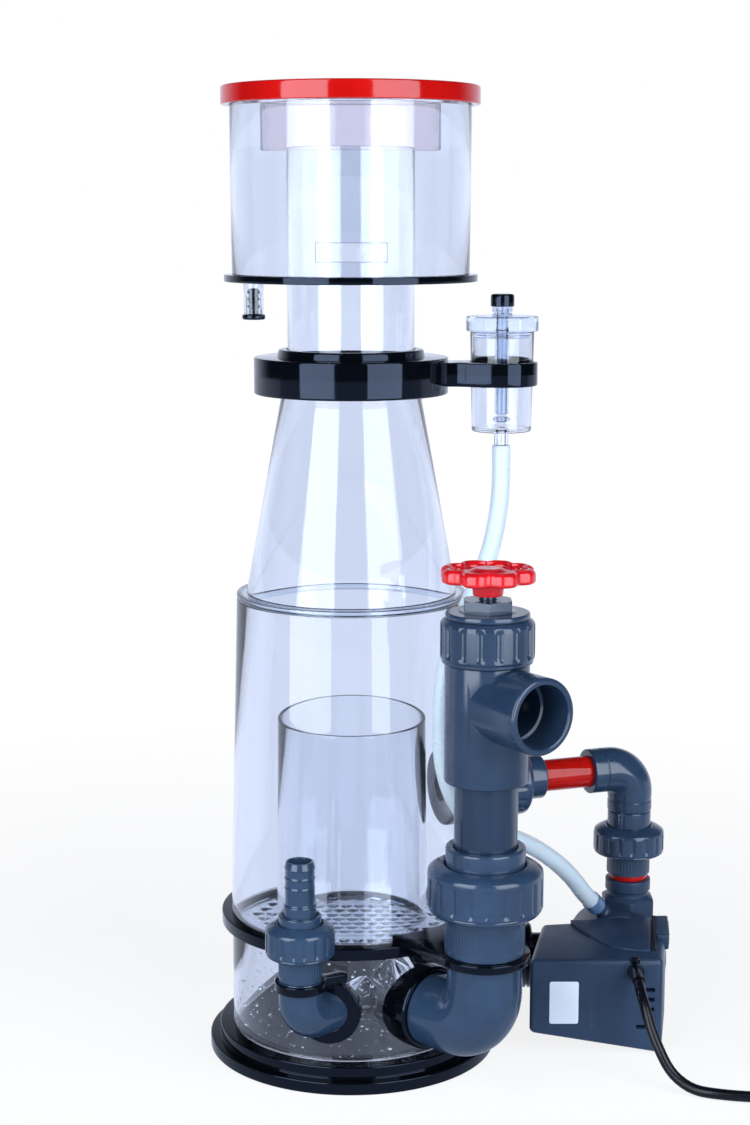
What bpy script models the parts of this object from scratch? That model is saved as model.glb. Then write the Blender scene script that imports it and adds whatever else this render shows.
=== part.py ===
"""Recirculating cone protein skimmer on its round base, with valve, pump, cup and silencer."""

import math

import bmesh
import bpy
from mathutils import Matrix, Vector

MM = 0.001

# Base and reaction body, all in millimetres, axis at X = 0, Y = 0
BASE_R = 95.5
BASE_STEP_R = 89.0
BASE_STEP_Z = 8.0
BASE_TOP = 16.0
CHAMBER_R = 80.0
CHAMBER_WALL = 4.0
FLANGE_Z = (86.0, 94.0)
FLANGE_R = 87.0
FLANGE_BORE = 72.6
PLATE_R = 72.2
PLATE_Z = (88.0, 92.0)
BODY_R_LOW = 80.5
BODY_R_TOP = 75.0
BODY_TOP = 304.2
BODY_WALL = 3.5
SHOULDER_Z = (304.5, 308.0)
CONE_Z = (308.3, 437.2)
CONE_R_LOW = 68.5
CONE_R_TOP = 44.8
CONE_WALL = 3.0
INNER_R = 49.2
INNER_WALL = 2.5
INNER_Z = (92.3, 222.0)
COLLAR_R = 62.5
COLLAR_BORE = 41.6
COLLAR_Z = (437.5, 461.0)
NECK_R = 47.0
NECK_TOP = 466.0

# Collection cup
RISER_R = 40.7
RISER_WALL = 2.5
RISER_Z = (440.0, 592.0)
CUP_PLATE_R = 81.0
CUP_PLATE_Z = (509.0, 513.5)
CUP_R = 76.5
CUP_WALL = 3.0
CUP_Z = (513.8, 620.6)
LID_R = 82.0
LID_Z = (621.0, 630.5)
SLEEVE_R = 57.0
SLEEVE_LOW = 589.0
DRAIN_XY = (-61.0, -22.0)
DRAIN_R = 6.2

# Silencer
SILENCER_XY = (97.0, 0.0)
BRACKET_Z = (442.5, 457.7)
BRACKET_R = 23.0
JAR_R = 20.6
JAR_Z = (413.0, 477.0)
JAR_LID_R = 23.2
AIR_TUBE_R = 6.5
AIR_TUBE_TOP = 497.0
HOSE_R = 6.0

# Inlet at the front left
INLET_XY = (-31.3, -98.7)
INLET_LEG = 48.8
INLET_PORT = 259.8
INLET_Z = 51.0
INLET_PIPE_R = 13.7
INLET_BEND = 15.0
INLET_PAD_R = 21.3
INLET_NUT_R = 21.9

# Outlet at the front right
OUTLET_XY = (83.5, -106.0)
OUTLET_TURN = 35.0
OUTLET_LEG = 132.9
OUTLET_Z = 49.5
OUTLET_PIPE_R = 23.6
OUTLET_BORE = 19.8
OUTLET_PAD_R = 27.0
STANDPIPE_R = 19.6
TEE_R = 26.0
TEE_Z = (209.0, 283.3)
BRANCH_Z = 259.5
BRANCH_R = 23.5
BRANCH_REACH = 54.0
BONNET_NUT_R = 28.8
WHEEL_R = 29.5
WHEEL_Z = (333.0, 342.0)
STEM_PITCH = 6.0
GATE_TRAVEL = 24.0

# Return line and pump at the back right
RETURN_DEG = 20.0
RETURN_Z = 170.0
RED_PIPE_R = 10.9
RETURN_ELBOW_R = 15.4
PUMP_XY = (193.7, 70.5)
PUMP_NUT_R = 24.5
VOLUTE_XZ = (185.0, 38.0)
VOLUTE_R = 34.0
VOLUTE_Y = (42.0, 86.0)
SHELL_Y = (-30.0, 38.0)
DISCHARGE_Y = 62.0
DISCHARGE_Z = 36.0
GLAND = (187.3, -30.0, 58.3)
CORD_R = 3.5
COIL_XY = (325.0, -64.2)
COIL_R = 38.5
COIL_TUBE_R = 10.0

ROUND = 28
SMALL = 16

for old in list(bpy.data.objects):
    bpy.data.objects.remove(old, do_unlink=True)

skimmer = bpy.data.collections.new("protein_skimmer")
cutters = bpy.data.collections.new("cutters")
bpy.context.scene.collection.children.link(skimmer)
bpy.context.scene.collection.children.link(cutters)
cutters.hide_render = True

COLOURS = {
    "clear": (0.78, 0.82, 0.92, 1.0),
    "black": (0.01, 0.01, 0.012, 1.0),
    "grey": (0.055, 0.085, 0.13, 1.0),
    "red": (0.65, 0.02, 0.02, 1.0),
    "silicone": (0.8, 0.82, 0.86, 1.0),
    "ceramic": (0.8, 0.78, 0.74, 1.0),
    "rubber": (0.02, 0.02, 0.02, 1.0),
}


def paint(obj, look):
    material = bpy.data.materials.new(obj.name + "_finish")
    material.use_nodes = True
    shader = material.node_tree.nodes["Principled BSDF"]
    shader.inputs["Base Color"].default_value = COLOURS[look]
    shader.inputs["Roughness"].default_value = 0.15 if look == "clear" else 0.35
    if look == "clear":
        shader.inputs["Transmission Weight"].default_value = 0.9
    obj.data.materials.append(material)


def place(obj, look, cutter=False):
    if cutter:
        cutters.objects.link(obj)
        obj.hide_render = True
        obj.display_type = "WIRE"
    else:
        skimmer.objects.link(obj)
        paint(obj, look)
    return obj


def turned(name, profile, look, at=(0, 0, 0), along=(0, 0, 1), steps=ROUND, cutter=False):
    """A profile of (radius, height) pairs in mm, outer side running down, turned round its axis."""
    mesh = bpy.data.meshes.new(name)
    points = [(r * MM, 0.0, h * MM) for r, h in profile]
    count = len(points)
    edges = [(i, i + 1) for i in range(count - 1)]
    if profile[0][0] > 0:
        edges.append((count - 1, 0))
    mesh.from_pydata(points, edges, [])
    obj = bpy.data.objects.new(name, mesh)
    place(obj, look, cutter)
    screw = obj.modifiers.new("Turn", "SCREW")
    screw.axis = "Z"
    screw.angle = 2 * math.pi
    screw.steps = steps
    screw.render_steps = steps
    screw.use_merge_vertices = True
    screw.merge_threshold = 0.00001
    obj.rotation_mode = "QUATERNION"
    obj.rotation_quaternion = Vector((0, 0, 1)).rotation_difference(Vector(along))
    obj.location = Vector(at) * MM
    return obj


def rod(radius, low, high):
    return [(0, high), (radius, high), (radius, low), (0, low)]


def pipe(inner, outer, low, high):
    return [(inner, high), (outer, high), (outer, low), (inner, low)]


def cut(obj, cutter, operation="DIFFERENCE"):
    step = obj.modifiers.new("Cut", "BOOLEAN")
    step.operation = operation
    step.solver = "EXACT"
    step.object = cutter
    return obj


def block(name, low, high, look, cutter=False):
    mesh = bpy.data.meshes.new(name)
    bm = bmesh.new()
    bmesh.ops.create_cube(bm, size=1.0)
    size = [(h - l) * MM for l, h in zip(low, high)]
    middle = [(h + l) / 2 * MM for l, h in zip(low, high)]
    bmesh.ops.scale(bm, vec=size, verts=bm.verts)
    bmesh.ops.translate(bm, vec=middle, verts=bm.verts)
    bm.to_mesh(mesh)
    bm.free()
    return place(bpy.data.objects.new(name, mesh), look, cutter)


def tube_curve(name, route, radius, look, resolution=3):
    curve = bpy.data.curves.new(name, "CURVE")
    curve.dimensions = "3D"
    curve.bevel_depth = radius * MM
    curve.bevel_resolution = resolution
    curve.use_fill_caps = True
    line = curve.splines.new("POLY")
    line.points.add(len(route) - 1)
    for point, spot in zip(line.points, route):
        point.co = (spot[0] * MM, spot[1] * MM, spot[2] * MM, 1.0)
    return place(bpy.data.objects.new(name, curve), look)


def tube_mesh(name, route, radius, look, resolution=5, cutter=False):
    """The same tube as a mesh, so that a Boolean can use it."""
    drawn = tube_curve(name + "_line", route, radius, look, resolution)
    bpy.context.view_layer.update()
    graph = bpy.context.evaluated_depsgraph_get()
    mesh = bpy.data.meshes.new_from_object(drawn.evaluated_get(graph))
    bm = bmesh.new()
    bm.from_mesh(mesh)
    bmesh.ops.remove_doubles(bm, verts=bm.verts, dist=0.00001)
    bmesh.ops.recalc_face_normals(bm, faces=bm.faces)
    bm.to_mesh(mesh)
    bm.free()
    mesh.materials.clear()
    bpy.data.objects.remove(drawn, do_unlink=True)
    return place(bpy.data.objects.new(name, mesh), look, cutter)


def outline(name, points, low, high, look, cutter=False):
    """A flat closed outline of (x, y) points in mm, from height low to high."""
    curve = bpy.data.curves.new(name, "CURVE")
    curve.dimensions = "2D"
    curve.fill_mode = "BOTH"
    curve.extrude = (high - low) / 2 * MM
    line = curve.splines.new("POLY")
    line.points.add(len(points) - 1)
    for point, (x, y) in zip(line.points, points):
        point.co = (x * MM, y * MM, 0.0, 1.0)
    line.use_cyclic_u = True
    drawn = bpy.data.objects.new(name + "_line", curve)
    skimmer.objects.link(drawn)
    drawn.location = (0, 0, (low + high) / 2 * MM)
    bpy.context.view_layer.update()
    graph = bpy.context.evaluated_depsgraph_get()
    mesh = bpy.data.meshes.new_from_object(drawn.evaluated_get(graph))
    mesh.transform(drawn.matrix_world)
    bm = bmesh.new()
    bm.from_mesh(mesh)
    bmesh.ops.remove_doubles(bm, verts=bm.verts, dist=0.00001)
    bmesh.ops.recalc_face_normals(bm, faces=bm.faces)
    bm.to_mesh(mesh)
    bm.free()
    bpy.data.objects.remove(drawn, do_unlink=True)
    return place(bpy.data.objects.new(name, mesh), look, cutter)


def centre_on(obj, at):
    """Moves the origin to a point on the joint axis and leaves the shape where it is."""
    spot = Vector(at) * MM
    obj.data.transform(Matrix.Translation(-spot))
    obj.location = spot
    return obj


def ribbed_nut(name, at, along, radius, bore, low, high, look, ribs=10):
    """A round nut with a toothed outer wall, its axis through at."""
    points = []
    for i in range(ribs * 4):
        angle = 2 * math.pi * (i + 0.5) / (ribs * 4)
        reach = radius if i % 4 in (1, 2) else radius - 1.2
        points.append((reach * math.cos(angle), reach * math.sin(angle)))
    nut = outline(name, points, low, high, look)
    hole = turned(name + "_bore", rod(bore, low - 2, high + 2), look, steps=ROUND, cutter=True)
    turn = Vector((0, 0, 1)).rotation_difference(Vector(along))
    for item in (nut, hole):
        item.rotation_mode = "QUATERNION"
        item.rotation_quaternion = turn
        item.location = Vector(at) * MM
    return cut(nut, hole)


def unit(degrees):
    """A level direction, in degrees from +X towards +Y."""
    return (math.cos(math.radians(degrees)), math.sin(math.radians(degrees)), 0.0)


def out(direction, distance, height):
    return (direction[0] * distance, direction[1] * distance, height)


# Base, lower chamber and flange ring
turned(
    "base_plate",
    [
        (0, BASE_TOP),
        (BASE_STEP_R, BASE_TOP),
        (BASE_STEP_R, BASE_STEP_Z),
        (BASE_R, BASE_STEP_Z),
        (BASE_R, 0),
        (0, 0),
    ],
    "black",
)
chamber = turned(
    "lower_chamber_tube",
    pipe(CHAMBER_R - CHAMBER_WALL, CHAMBER_R, BASE_TOP + 0.3, FLANGE_Z[0] - 0.3),
    "clear",
)
turned("mid_flange_ring", pipe(FLANGE_BORE, FLANGE_R, *FLANGE_Z), "black")
plate = turned("bubble_plate", rod(PLATE_R, *PLATE_Z), "clear")
for ring_r, holes in ((24.0, 5), (61.0, 12)):
    for i in range(holes):
        way = unit(360 * i / holes + 7)
        spot = out(way, ring_r, 0)
        cut(plate, turned("plate_hole", rod(2.6, 80, 100), "clear", spot, steps=6, cutter=True))

# Reaction body, inner tube, shoulder and cone
reaction = turned(
    "reaction_tube",
    [
        (BODY_R_TOP - BODY_WALL, BODY_TOP),
        (BODY_R_TOP, BODY_TOP),
        (BODY_R_LOW, FLANGE_Z[1] + 0.3),
        (BODY_R_LOW - BODY_WALL, FLANGE_Z[1] + 0.3),
    ],
    "clear",
)
turned("inner_tube", pipe(INNER_R - INNER_WALL, INNER_R, *INNER_Z), "clear")
turned("shoulder_ring", pipe(CONE_R_LOW - CONE_WALL - 1, BODY_R_TOP, *SHOULDER_Z), "clear")
turned(
    "cone",
    [
        (CONE_R_TOP - CONE_WALL, CONE_Z[1]),
        (CONE_R_TOP, CONE_Z[1]),
        (CONE_R_LOW, CONE_Z[0]),
        (CONE_R_LOW - CONE_WALL, CONE_Z[0]),
    ],
    "clear",
)

# Neck collar with its raised ring, the O-ring in its groove, and the silencer bracket
GROOVE_Z = (449.7, 453.3)
turned(
    "neck_collar",
    [
        (COLLAR_BORE, NECK_TOP),
        (NECK_R - 1.5, NECK_TOP),
        (NECK_R, NECK_TOP - 1.5),
        (NECK_R, COLLAR_Z[1]),
        (COLLAR_R, COLLAR_Z[1]),
        (COLLAR_R, COLLAR_Z[0]),
        (COLLAR_BORE, COLLAR_Z[0]),
        (COLLAR_BORE, GROOVE_Z[0]),
        (COLLAR_BORE + 2.6, GROOVE_Z[0]),
        (COLLAR_BORE + 2.6, GROOVE_Z[1]),
        (COLLAR_BORE, GROOVE_Z[1]),
    ],
    "black",
)
seal = pipe(RISER_R + 0.3, COLLAR_BORE + 2.2, GROOVE_Z[0] + 0.3, GROOVE_Z[1] - 0.3)
turned("neck_o_ring", seal, "rubber")
sx, sy = SILENCER_XY
arm = []
for i in range(17):
    way = unit(-100 + 200 * i / 16)
    arm.append((sx + BRACKET_R * way[0], sy + BRACKET_R * way[1]))
arm += [(sx - 22, 13), (50, 13), (50, -13), (sx - 22, -13)]
bracket = outline("silencer_bracket", arm, *BRACKET_Z, "black")
collar_room = rod(COLLAR_R + 0.3, 430, 470)
jar_room = rod(JAR_R + 0.4, 430, 470)
cut(bracket, turned("bracket_collar_cut", collar_room, "black", steps=ROUND * 2, cutter=True))
cut(bracket, turned("bracket_jar_cut", jar_room, "black", (sx, sy, 0), cutter=True))

# Silencer jar, its lid with the air tube, the black cap and the hose
turned(
    "silencer_jar",
    [
        (JAR_R - 2, JAR_Z[1]),
        (JAR_R, JAR_Z[1]),
        (JAR_R - 1, JAR_Z[0]),
        (4.6, JAR_Z[0]),
        (4.6, JAR_Z[0] - 9),
        (2.4, JAR_Z[0] - 9),
        (2.4, JAR_Z[0] + 3),
        (JAR_R - 3, JAR_Z[0] + 3),
    ],
    "clear",
    (sx, sy, 0),
    steps=24,
)
turned(
    "jar_lid",
    [
        (AIR_TUBE_R - 3.5, AIR_TUBE_TOP),
        (AIR_TUBE_R, AIR_TUBE_TOP),
        (AIR_TUBE_R, JAR_Z[1] + 10),
        (JAR_LID_R, JAR_Z[1] + 10),
        (JAR_LID_R, JAR_Z[1] + 0.6),
        (JAR_R - 2.6, JAR_Z[1] + 0.6),
        (JAR_R - 2.6, JAR_Z[1] - 4),
        (4.6, JAR_Z[1] - 4),
        (4.6, JAR_Z[0] + 11),
        (AIR_TUBE_R - 3.5, JAR_Z[0] + 11),
    ],
    "clear",
    (sx, sy, 0),
    steps=24,
)
turned(
    "air_cap",
    [
        (0, AIR_TUBE_TOP + 4),
        (AIR_TUBE_R + 0.6, AIR_TUBE_TOP + 4),
        (AIR_TUBE_R + 1.2, AIR_TUBE_TOP + 3.4),
        (AIR_TUBE_R + 1.2, AIR_TUBE_TOP - 4),
        (AIR_TUBE_R + 0.3, AIR_TUBE_TOP - 4),
        (AIR_TUBE_R + 0.3, AIR_TUBE_TOP + 0.3),
        (0, AIR_TUBE_TOP + 0.3),
    ],
    "black",
    (sx, sy, 0),
    steps=SMALL,
)

# Collection cup: base plate, wall, riser, drain nipple and its plug
cup_plate = turned("cup_base_plate", pipe(RISER_R + 0.3, CUP_PLATE_R, *CUP_PLATE_Z), "black")
drain_at = (*DRAIN_XY, 0)
cut(cup_plate, turned("drain_hole", rod(DRAIN_R - 1.8, 500, 520), "black", drain_at, steps=12, cutter=True))
turned("cup_wall", pipe(CUP_R - CUP_WALL, CUP_R, *CUP_Z), "clear")
turned("riser_tube", pipe(RISER_R - RISER_WALL, RISER_R, *RISER_Z), "clear")
nipple = pipe(DRAIN_R - 1.8, DRAIN_R, 489, CUP_PLATE_Z[0] - 0.3)
turned("drain_nipple", nipple, "clear", drain_at, steps=SMALL)
turned(
    "drain_plug",
    [
        (0, 505),
        (3.2, 505),
        (4.1, 503),
        (4.1, 501.5),
        (3.0, 501.5),
        (3.0, 499),
        (4.1, 499),
        (4.1, 497),
        (3.0, 497),
        (3.0, 494.5),
        (4.1, 494.5),
        (4.1, 492.5),
        (3.2, 492.5),
        (3.2, 488.7),
        (7.3, 488.7),
        (7.3, 485.7),
        (0, 485.7),
    ],
    "black",
    (*DRAIN_XY, 0),
    steps=16,
)

# Lid and the clear sleeve fixed under it
turned(
    "lid",
    [
        (0, LID_Z[1]),
        (LID_R - 3, LID_Z[1]),
        (LID_R, LID_Z[1] - 2),
        (LID_R, LID_Z[0] - 2),
        (CUP_R + 0.4, LID_Z[0] - 2),
        (CUP_R + 0.4, LID_Z[0]),
        (0, LID_Z[0]),
    ],
    "red",
)
turned(
    "lid_sleeve",
    [
        (0, LID_Z[0] - 0.3),
        (CUP_R - CUP_WALL - 0.4, LID_Z[0] - 0.3),
        (CUP_R - CUP_WALL - 0.4, LID_Z[0] - 3.5),
        (SLEEVE_R, LID_Z[0] - 3.5),
        (SLEEVE_R, SLEEVE_LOW),
        (SLEEVE_R - 2.5, SLEEVE_LOW),
        (SLEEVE_R - 2.5, LID_Z[0] - 3.5),
        (0, LID_Z[0] - 3.5),
    ],
    "clear",
)

# Inlet: pad on the chamber, elbow, clip, union and hose tail
inlet_leg = unit(INLET_LEG)
inlet_at = (*INLET_XY, 0)
chamber_skin = turned("chamber_skin", rod(CHAMBER_R + 0.3, 0, 84), "black", steps=ROUND * 2, cutter=True)


def beside(spot, direction, distance, height):
    return (spot[0] + direction[0] * distance, spot[1] + direction[1] * distance, height)


inlet_leg_at = (*INLET_XY, INLET_Z)
pad_round = rod(INLET_PAD_R, 70, 85.2)
pad_bore = rod(INLET_PIPE_R + 0.4, 0, 60)
pad = turned("inlet_port_pad", pad_round, "black", (0, 0, INLET_Z), unit(INLET_PORT), 24)
cut(pad, turned("pad_pipe_hole", pad_bore, "black", inlet_leg_at, inlet_leg, 24, cutter=True))
cut(pad, chamber_skin)
port_bore = rod(9.3, 10, 45)
cut(chamber, turned("inlet_port_hole", port_bore, "clear", inlet_leg_at, inlet_leg, 20, cutter=True))


def elbow_route(start, direction, run, bend, rise, extra=0.0):
    """Level run from start, a quarter bend upwards, then up to the height rise."""
    route = [(start[0] - direction[0] * extra, start[1] - direction[1] * extra, start[2])]
    if run > 0.1 or extra > 0.1:
        route.append(tuple(start[i] + direction[i] * run for i in range(3)))
    for i in range(1, 9):
        angle = math.pi / 2 * i / 8
        along = run + bend * math.sin(angle)
        route.append(
            (
                start[0] + direction[0] * along,
                start[1] + direction[1] * along,
                start[2] + bend * (1 - math.cos(angle)),
            )
        )
    route.append((route[-1][0], route[-1][1], rise + extra))
    return route


inlet_start = beside(INLET_XY, inlet_leg, 40, INLET_Z)
inlet_back = unit(INLET_LEG + 180)
inlet_run = 40 - INLET_BEND
inlet_route = elbow_route(inlet_start, inlet_back, inlet_run, INLET_BEND, 78.7)
elbow = tube_mesh("inlet_elbow", inlet_route, INLET_PIPE_R, "grey")
inlet_inside = elbow_route(inlet_start, inlet_back, inlet_run, INLET_BEND, 78.7, 3.0)
cut(elbow, chamber_skin)
cut(elbow, tube_mesh("inlet_elbow_bore", inlet_inside, 9.8, "grey", cutter=True))
clip_band = pipe(INLET_PIPE_R + 0.4, INLET_PIPE_R + 2.4, 72.4, 78.4)
clip = turned("inlet_clip", clip_band, "black", inlet_at, steps=22)
clip_low, clip_high = (INLET_PIPE_R + 1.2, -3.5, 72.4), (31, 3.5, 78.4)
clip_arm = block("inlet_clip_arm", clip_low, clip_high, "black", cutter=True)
clip_arm.rotation_euler = (0, 0, math.radians(27.4))
clip_arm.location = Vector(inlet_at) * MM
cut(clip, clip_arm, "UNION")
cut(clip, chamber_skin)
turned(
    "inlet_union_end",
    pipe(9.8, INLET_PIPE_R, 79.0, 101.5),
    "grey",
    inlet_at,
    steps=22,
)
upright = (0, 0, 1)
inlet_nut_bore = INLET_PIPE_R + 0.4
ribbed_nut("inlet_union_nut", inlet_at, upright, INLET_NUT_R, inlet_nut_bore, 94.3, 116.0, "grey")
barb = [(7.2, 155.7), (9.0, 155.7), (9.9, 151)]
for height in (145.0, 139.0):
    barb += [(9.2, height + 0.2), (9.9, height)]
tail_r = INLET_PIPE_R - 0.3
barb += [(9.6, 128), (9.6, 121), (tail_r, 121), (tail_r, 101.9), (7.2, 101.9)]
turned("inlet_hose_tail", barb, "grey", inlet_at, steps=22)

# Outlet: ring on the chamber, elbow, support plate, union, standpipe and valve
facing = unit(OUTLET_TURN - 90.0)
ox, oy = OUTLET_XY
outlet_leg = unit(OUTLET_LEG)
outlet_back = unit(OUTLET_LEG + 180)
leg = 66.0
outlet_leg_at = (ox, oy, OUTLET_Z)
outlet_start = beside(OUTLET_XY, outlet_leg, leg, OUTLET_Z)
ring_tube = pipe(OUTLET_PIPE_R + 0.4, OUTLET_PAD_R, 44.5, 80)
ring = turned("outlet_port_ring", ring_tube, "black", outlet_leg_at, outlet_leg, 24)
cut(ring, chamber_skin)
port_bore = rod(OUTLET_BORE - 0.5, 30, 90)
cut(chamber, turned("outlet_port_hole", port_bore, "clear", outlet_leg_at, outlet_leg, 24, cutter=True))
outlet_route = elbow_route(outlet_start, outlet_back, leg - 26, 26, 98.0)
big = tube_mesh("outlet_elbow", outlet_route, OUTLET_PIPE_R, "grey", 6)
outlet_inside = elbow_route(outlet_start, outlet_back, leg - 26, 26, 98.0, 4.0)
cut(big, chamber_skin)
cut(big, tube_mesh("outlet_elbow_bore", outlet_inside, OUTLET_BORE, "grey", 6, cutter=True))
band = 28.5
support = []
for i in range(11):
    way = unit(-90 + 19 + 5.0 * i)
    support.append(out(way, 81.2, 0)[:2])
for i in range(13):
    way = unit(20 - 190 * i / 12)
    support.append((ox + band * way[0], oy + band * way[1]))
brace = outline("outlet_support_plate", support, 94.4, 99.8, "black")
body_room = rod(BODY_R_LOW + 0.4, 90, 110)
pipe_room = rod(OUTLET_PIPE_R + 0.5, 90, 110)
outlet_at = (ox, oy, 0)
cut(brace, turned("brace_body_cut", body_room, "black", steps=ROUND * 2, cutter=True))
cut(brace, turned("brace_pipe_cut", pipe_room, "black", outlet_at, steps=22, cutter=True))
turned("outlet_union_end", pipe(OUTLET_BORE, 25.0, 100.2, 141.0), "grey", outlet_at, steps=22)
ribbed_nut("outlet_union_nut", outlet_at, upright, 35.9, 25.5, 126.0, 157.0, "grey", 12)
turned("outlet_union_top", pipe(STANDPIPE_R + 0.3, 24.8, 141.4, 168.0), "grey", outlet_at, steps=22)
turned("standpipe", pipe(17.0, STANDPIPE_R, 142.0, 232.0), "grey", outlet_at, steps=22)
tee = turned(
    "valve_tee",
    [
        (18.0, TEE_Z[1]),
        (TEE_R, TEE_Z[1]),
        (TEE_R, TEE_Z[0]),
        (STANDPIPE_R + 0.3, TEE_Z[0]),
        (STANDPIPE_R + 0.3, 232.4),
        (18.0, 232.4),
    ],
    "grey",
    (ox, oy, 0),
    steps=32,
)
branch_at = (ox, oy, BRANCH_Z)
branch = [
    (19.2, BRANCH_REACH),
    (BRANCH_R, BRANCH_REACH),
    (BRANCH_R, 21.0),
    (17.0, 21.0),
    (17.0, 30.0),
    (19.2, 30.0),
]
cut(tee, turned("branch_hole", rod(17.4, 8, 40), "grey", branch_at, facing, 24, cutter=True))
cut(tee, turned("tee_branch", branch, "grey", branch_at, facing, 24, cutter=True), "UNION")
ribbed_nut("bonnet_nut", outlet_at, upright, BONNET_NUT_R, 21.0, 283.6, 311.0, "grey", 12)
bonnet = [
    (0, 322.0),
    (13.5, 322.0),
    (13.5, 314.6),
    (25.8, 314.6),
    (25.8, 311.4),
    (20.6, 311.4),
    (20.6, 283.7),
    (17.5, 283.7),
    (17.5, 308.0),
    (0, 308.0),
]
cap = turned("valve_bonnet", bonnet, "grey", (ox, oy, 0), steps=22)
cut(cap, turned("bonnet_stem_hole", rod(5.4, 300, 330), "grey", (ox, oy, 0), steps=SMALL, cutter=True))
turned("valve_spindle", rod(5.0, 263.0, 340.0), "grey", (ox, oy, 0), steps=SMALL)
turned(
    "valve_gate",
    [
        (5.3, 289.5),
        (12, 289.5),
        (16.6, 286),
        (16.6, 262),
        (12, 258),
        (0, 258),
        (0, 262),
        (5.3, 262),
    ],
    "black",
    (ox, oy, 0),
    steps=24,
)
wheel_points = []
for i in range(48):
    angle = 2 * math.pi * i / 48
    reach = WHEEL_R - 2.6 * (0.5 + 0.5 * math.cos(8 * angle))
    wheel_points.append((reach * math.cos(angle), reach * math.sin(angle)))
wheel = outline("handwheel", wheel_points, *WHEEL_Z, "red")
centre_on(wheel, (ox, oy, 0))
wheel.data.transform(Matrix.Translation(Vector((ox * MM, oy * MM, 0))))
hub = turned("wheel_hub", rod(10.0, 324.5, 336.0), "red", outlet_at, steps=SMALL, cutter=True)
cut(wheel, hub, "UNION")
dish = [(0, 350), (24.5, 350), (24.5, 339.5), (12, 337.5), (0, 337.5)]
cut(wheel, turned("wheel_dish", dish, "red", outlet_at, steps=22, cutter=True))
cut(wheel, turned("wheel_bore", rod(5.3, 320, 345), "red", outlet_at, steps=SMALL, cutter=True))

# Return line: bulkhead on the body, nut, socket, red pipe, elbow and pump union
way_out = unit(RETURN_DEG)
line_at = (0, 0, RETURN_Z)
cut(reaction, turned("return_hole", rod(11.2, 50, 100), "clear", line_at, way_out, 20, cutter=True))
turned(
    "return_bulkhead",
    [
        (9.0, 104),
        (15.0, 104),
        (15.0, 84),
        (10.9, 84),
        (10.9, 70.4),
        (24.0, 70.4),
        (24.0, 63.5),
        (9.0, 63.5),
    ],
    "grey",
    line_at,
    way_out,
    22,
)
ribbed_nut("return_union_nut", line_at, way_out, 24.3, 15.4, 92.0, 125.0, "grey", 10)
turned("return_socket", pipe(RED_PIPE_R + 0.3, 15.0, 104.4, 137.0), "grey", line_at, way_out, 22)
turned("red_pipe", pipe(8.6, RED_PIPE_R, 106.0, 183.0), "red", line_at, way_out, 22)
px, py = PUMP_XY
reach = math.hypot(px, py)
turn_r = 17.0
back = unit(RETURN_DEG + 180.0)
bend = [(px + back[0] * 33.0, py + back[1] * 33.0, RETURN_Z)]
for i in range(9):
    angle = math.pi / 2 * i / 8
    along = turn_r * (1 - math.sin(angle))
    sunk = turn_r * (1 - math.cos(angle))
    bend.append((px + back[0] * along, py + back[1] * along, RETURN_Z - sunk))
bend.append((px, py, 140.2))
over = [tuple(bend[0][i] + back[i] * 4 for i in range(3))] + bend[1:-1] + [(px, py, 136.0)]
high = tube_mesh("return_elbow", bend, RETURN_ELBOW_R, "grey", 5)
cut(high, tube_mesh("return_elbow_bore", over, RED_PIPE_R + 0.4, "grey", 5, cutter=True))
turned("pump_union_top", pipe(10.0, 15.0, 113.4, 139.8), "grey", (px, py, 0), steps=22)
ribbed_nut("pump_union_nut", (px, py, 0), upright, PUMP_NUT_R, 15.5, 108.5, 129.0, "grey", 10)
turned("pump_union_end", pipe(10.0, 15.0, 94.6, 113.0), "grey", (px, py, 0), steps=22)
turned("pump_seal_ring", pipe(10.0, 13.2, 90.6, 94.2), "red", (px, py, 0), steps=24)

# Pump: volute with its barrel and air nipple, shell, impeller, shaft, rotor and discharge
vx, vz = VOLUTE_XZ
back_y = (0, 1, 0)
volute = turned("pump_volute", rod(VOLUTE_R, *VOLUTE_Y), "grey", (vx, 0, vz), back_y, ROUND)
barrel = turned("volute_barrel", rod(15.7, 45, 90.3), "grey", (px, py, 0), steps=22, cutter=True)
cut(volute, barrel, "UNION")
hose_end = Vector((169.4, 45.2, 77.4))
hose_way = Vector((0.52, 0.55, -0.65)).normalized()
nipple_at = hose_end + hose_way * 3.5
nipple = turned("volute_nipple", rod(4.4, -2.0, 18), "grey", nipple_at, hose_way, 12, cutter=True)
cut(volute, nipple, "UNION")
drum_at = (vx, 0, vz)
cut(volute, turned("volute_cavity", rod(29.0, 50.0, 82.0), "grey", drum_at, back_y, cutter=True))
cut(volute, turned("volute_inlet", rod(10.5, 50, 95), "grey", (px, py, 0), steps=24, cutter=True))
cut(volute, turned("volute_motor_hole", rod(13.0, 30, 60), "grey", drum_at, back_y, 24, cutter=True))
left = (-1, 0, 0)
pushed_at = (vx, DISCHARGE_Y, DISCHARGE_Z)
cut(volute, turned("volute_discharge", rod(11.5, 20, 50), "grey", pushed_at, left, 24, cutter=True))
discharge = turned(
    "discharge_pipe",
    [
        (11.8, 150),
        (15.5, 150),
        (15.5, 68),
        (22.7, 68),
        (22.7, 60),
        (15.5, 60),
        (15.5, 20),
        (11.8, 20),
    ],
    "black",
    pushed_at,
    left,
    22,
)
pump_room = rod(VOLUTE_R + 0.4, 30, 95)
cut(discharge, turned("discharge_pump_cut", pump_room, "black", drum_at, back_y, ROUND * 2, cutter=True))
cut(discharge, chamber_skin)
cut(chamber, turned("discharge_hole", rod(11.5, 90, 170), "clear", pushed_at, left, 20, cutter=True))

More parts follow.
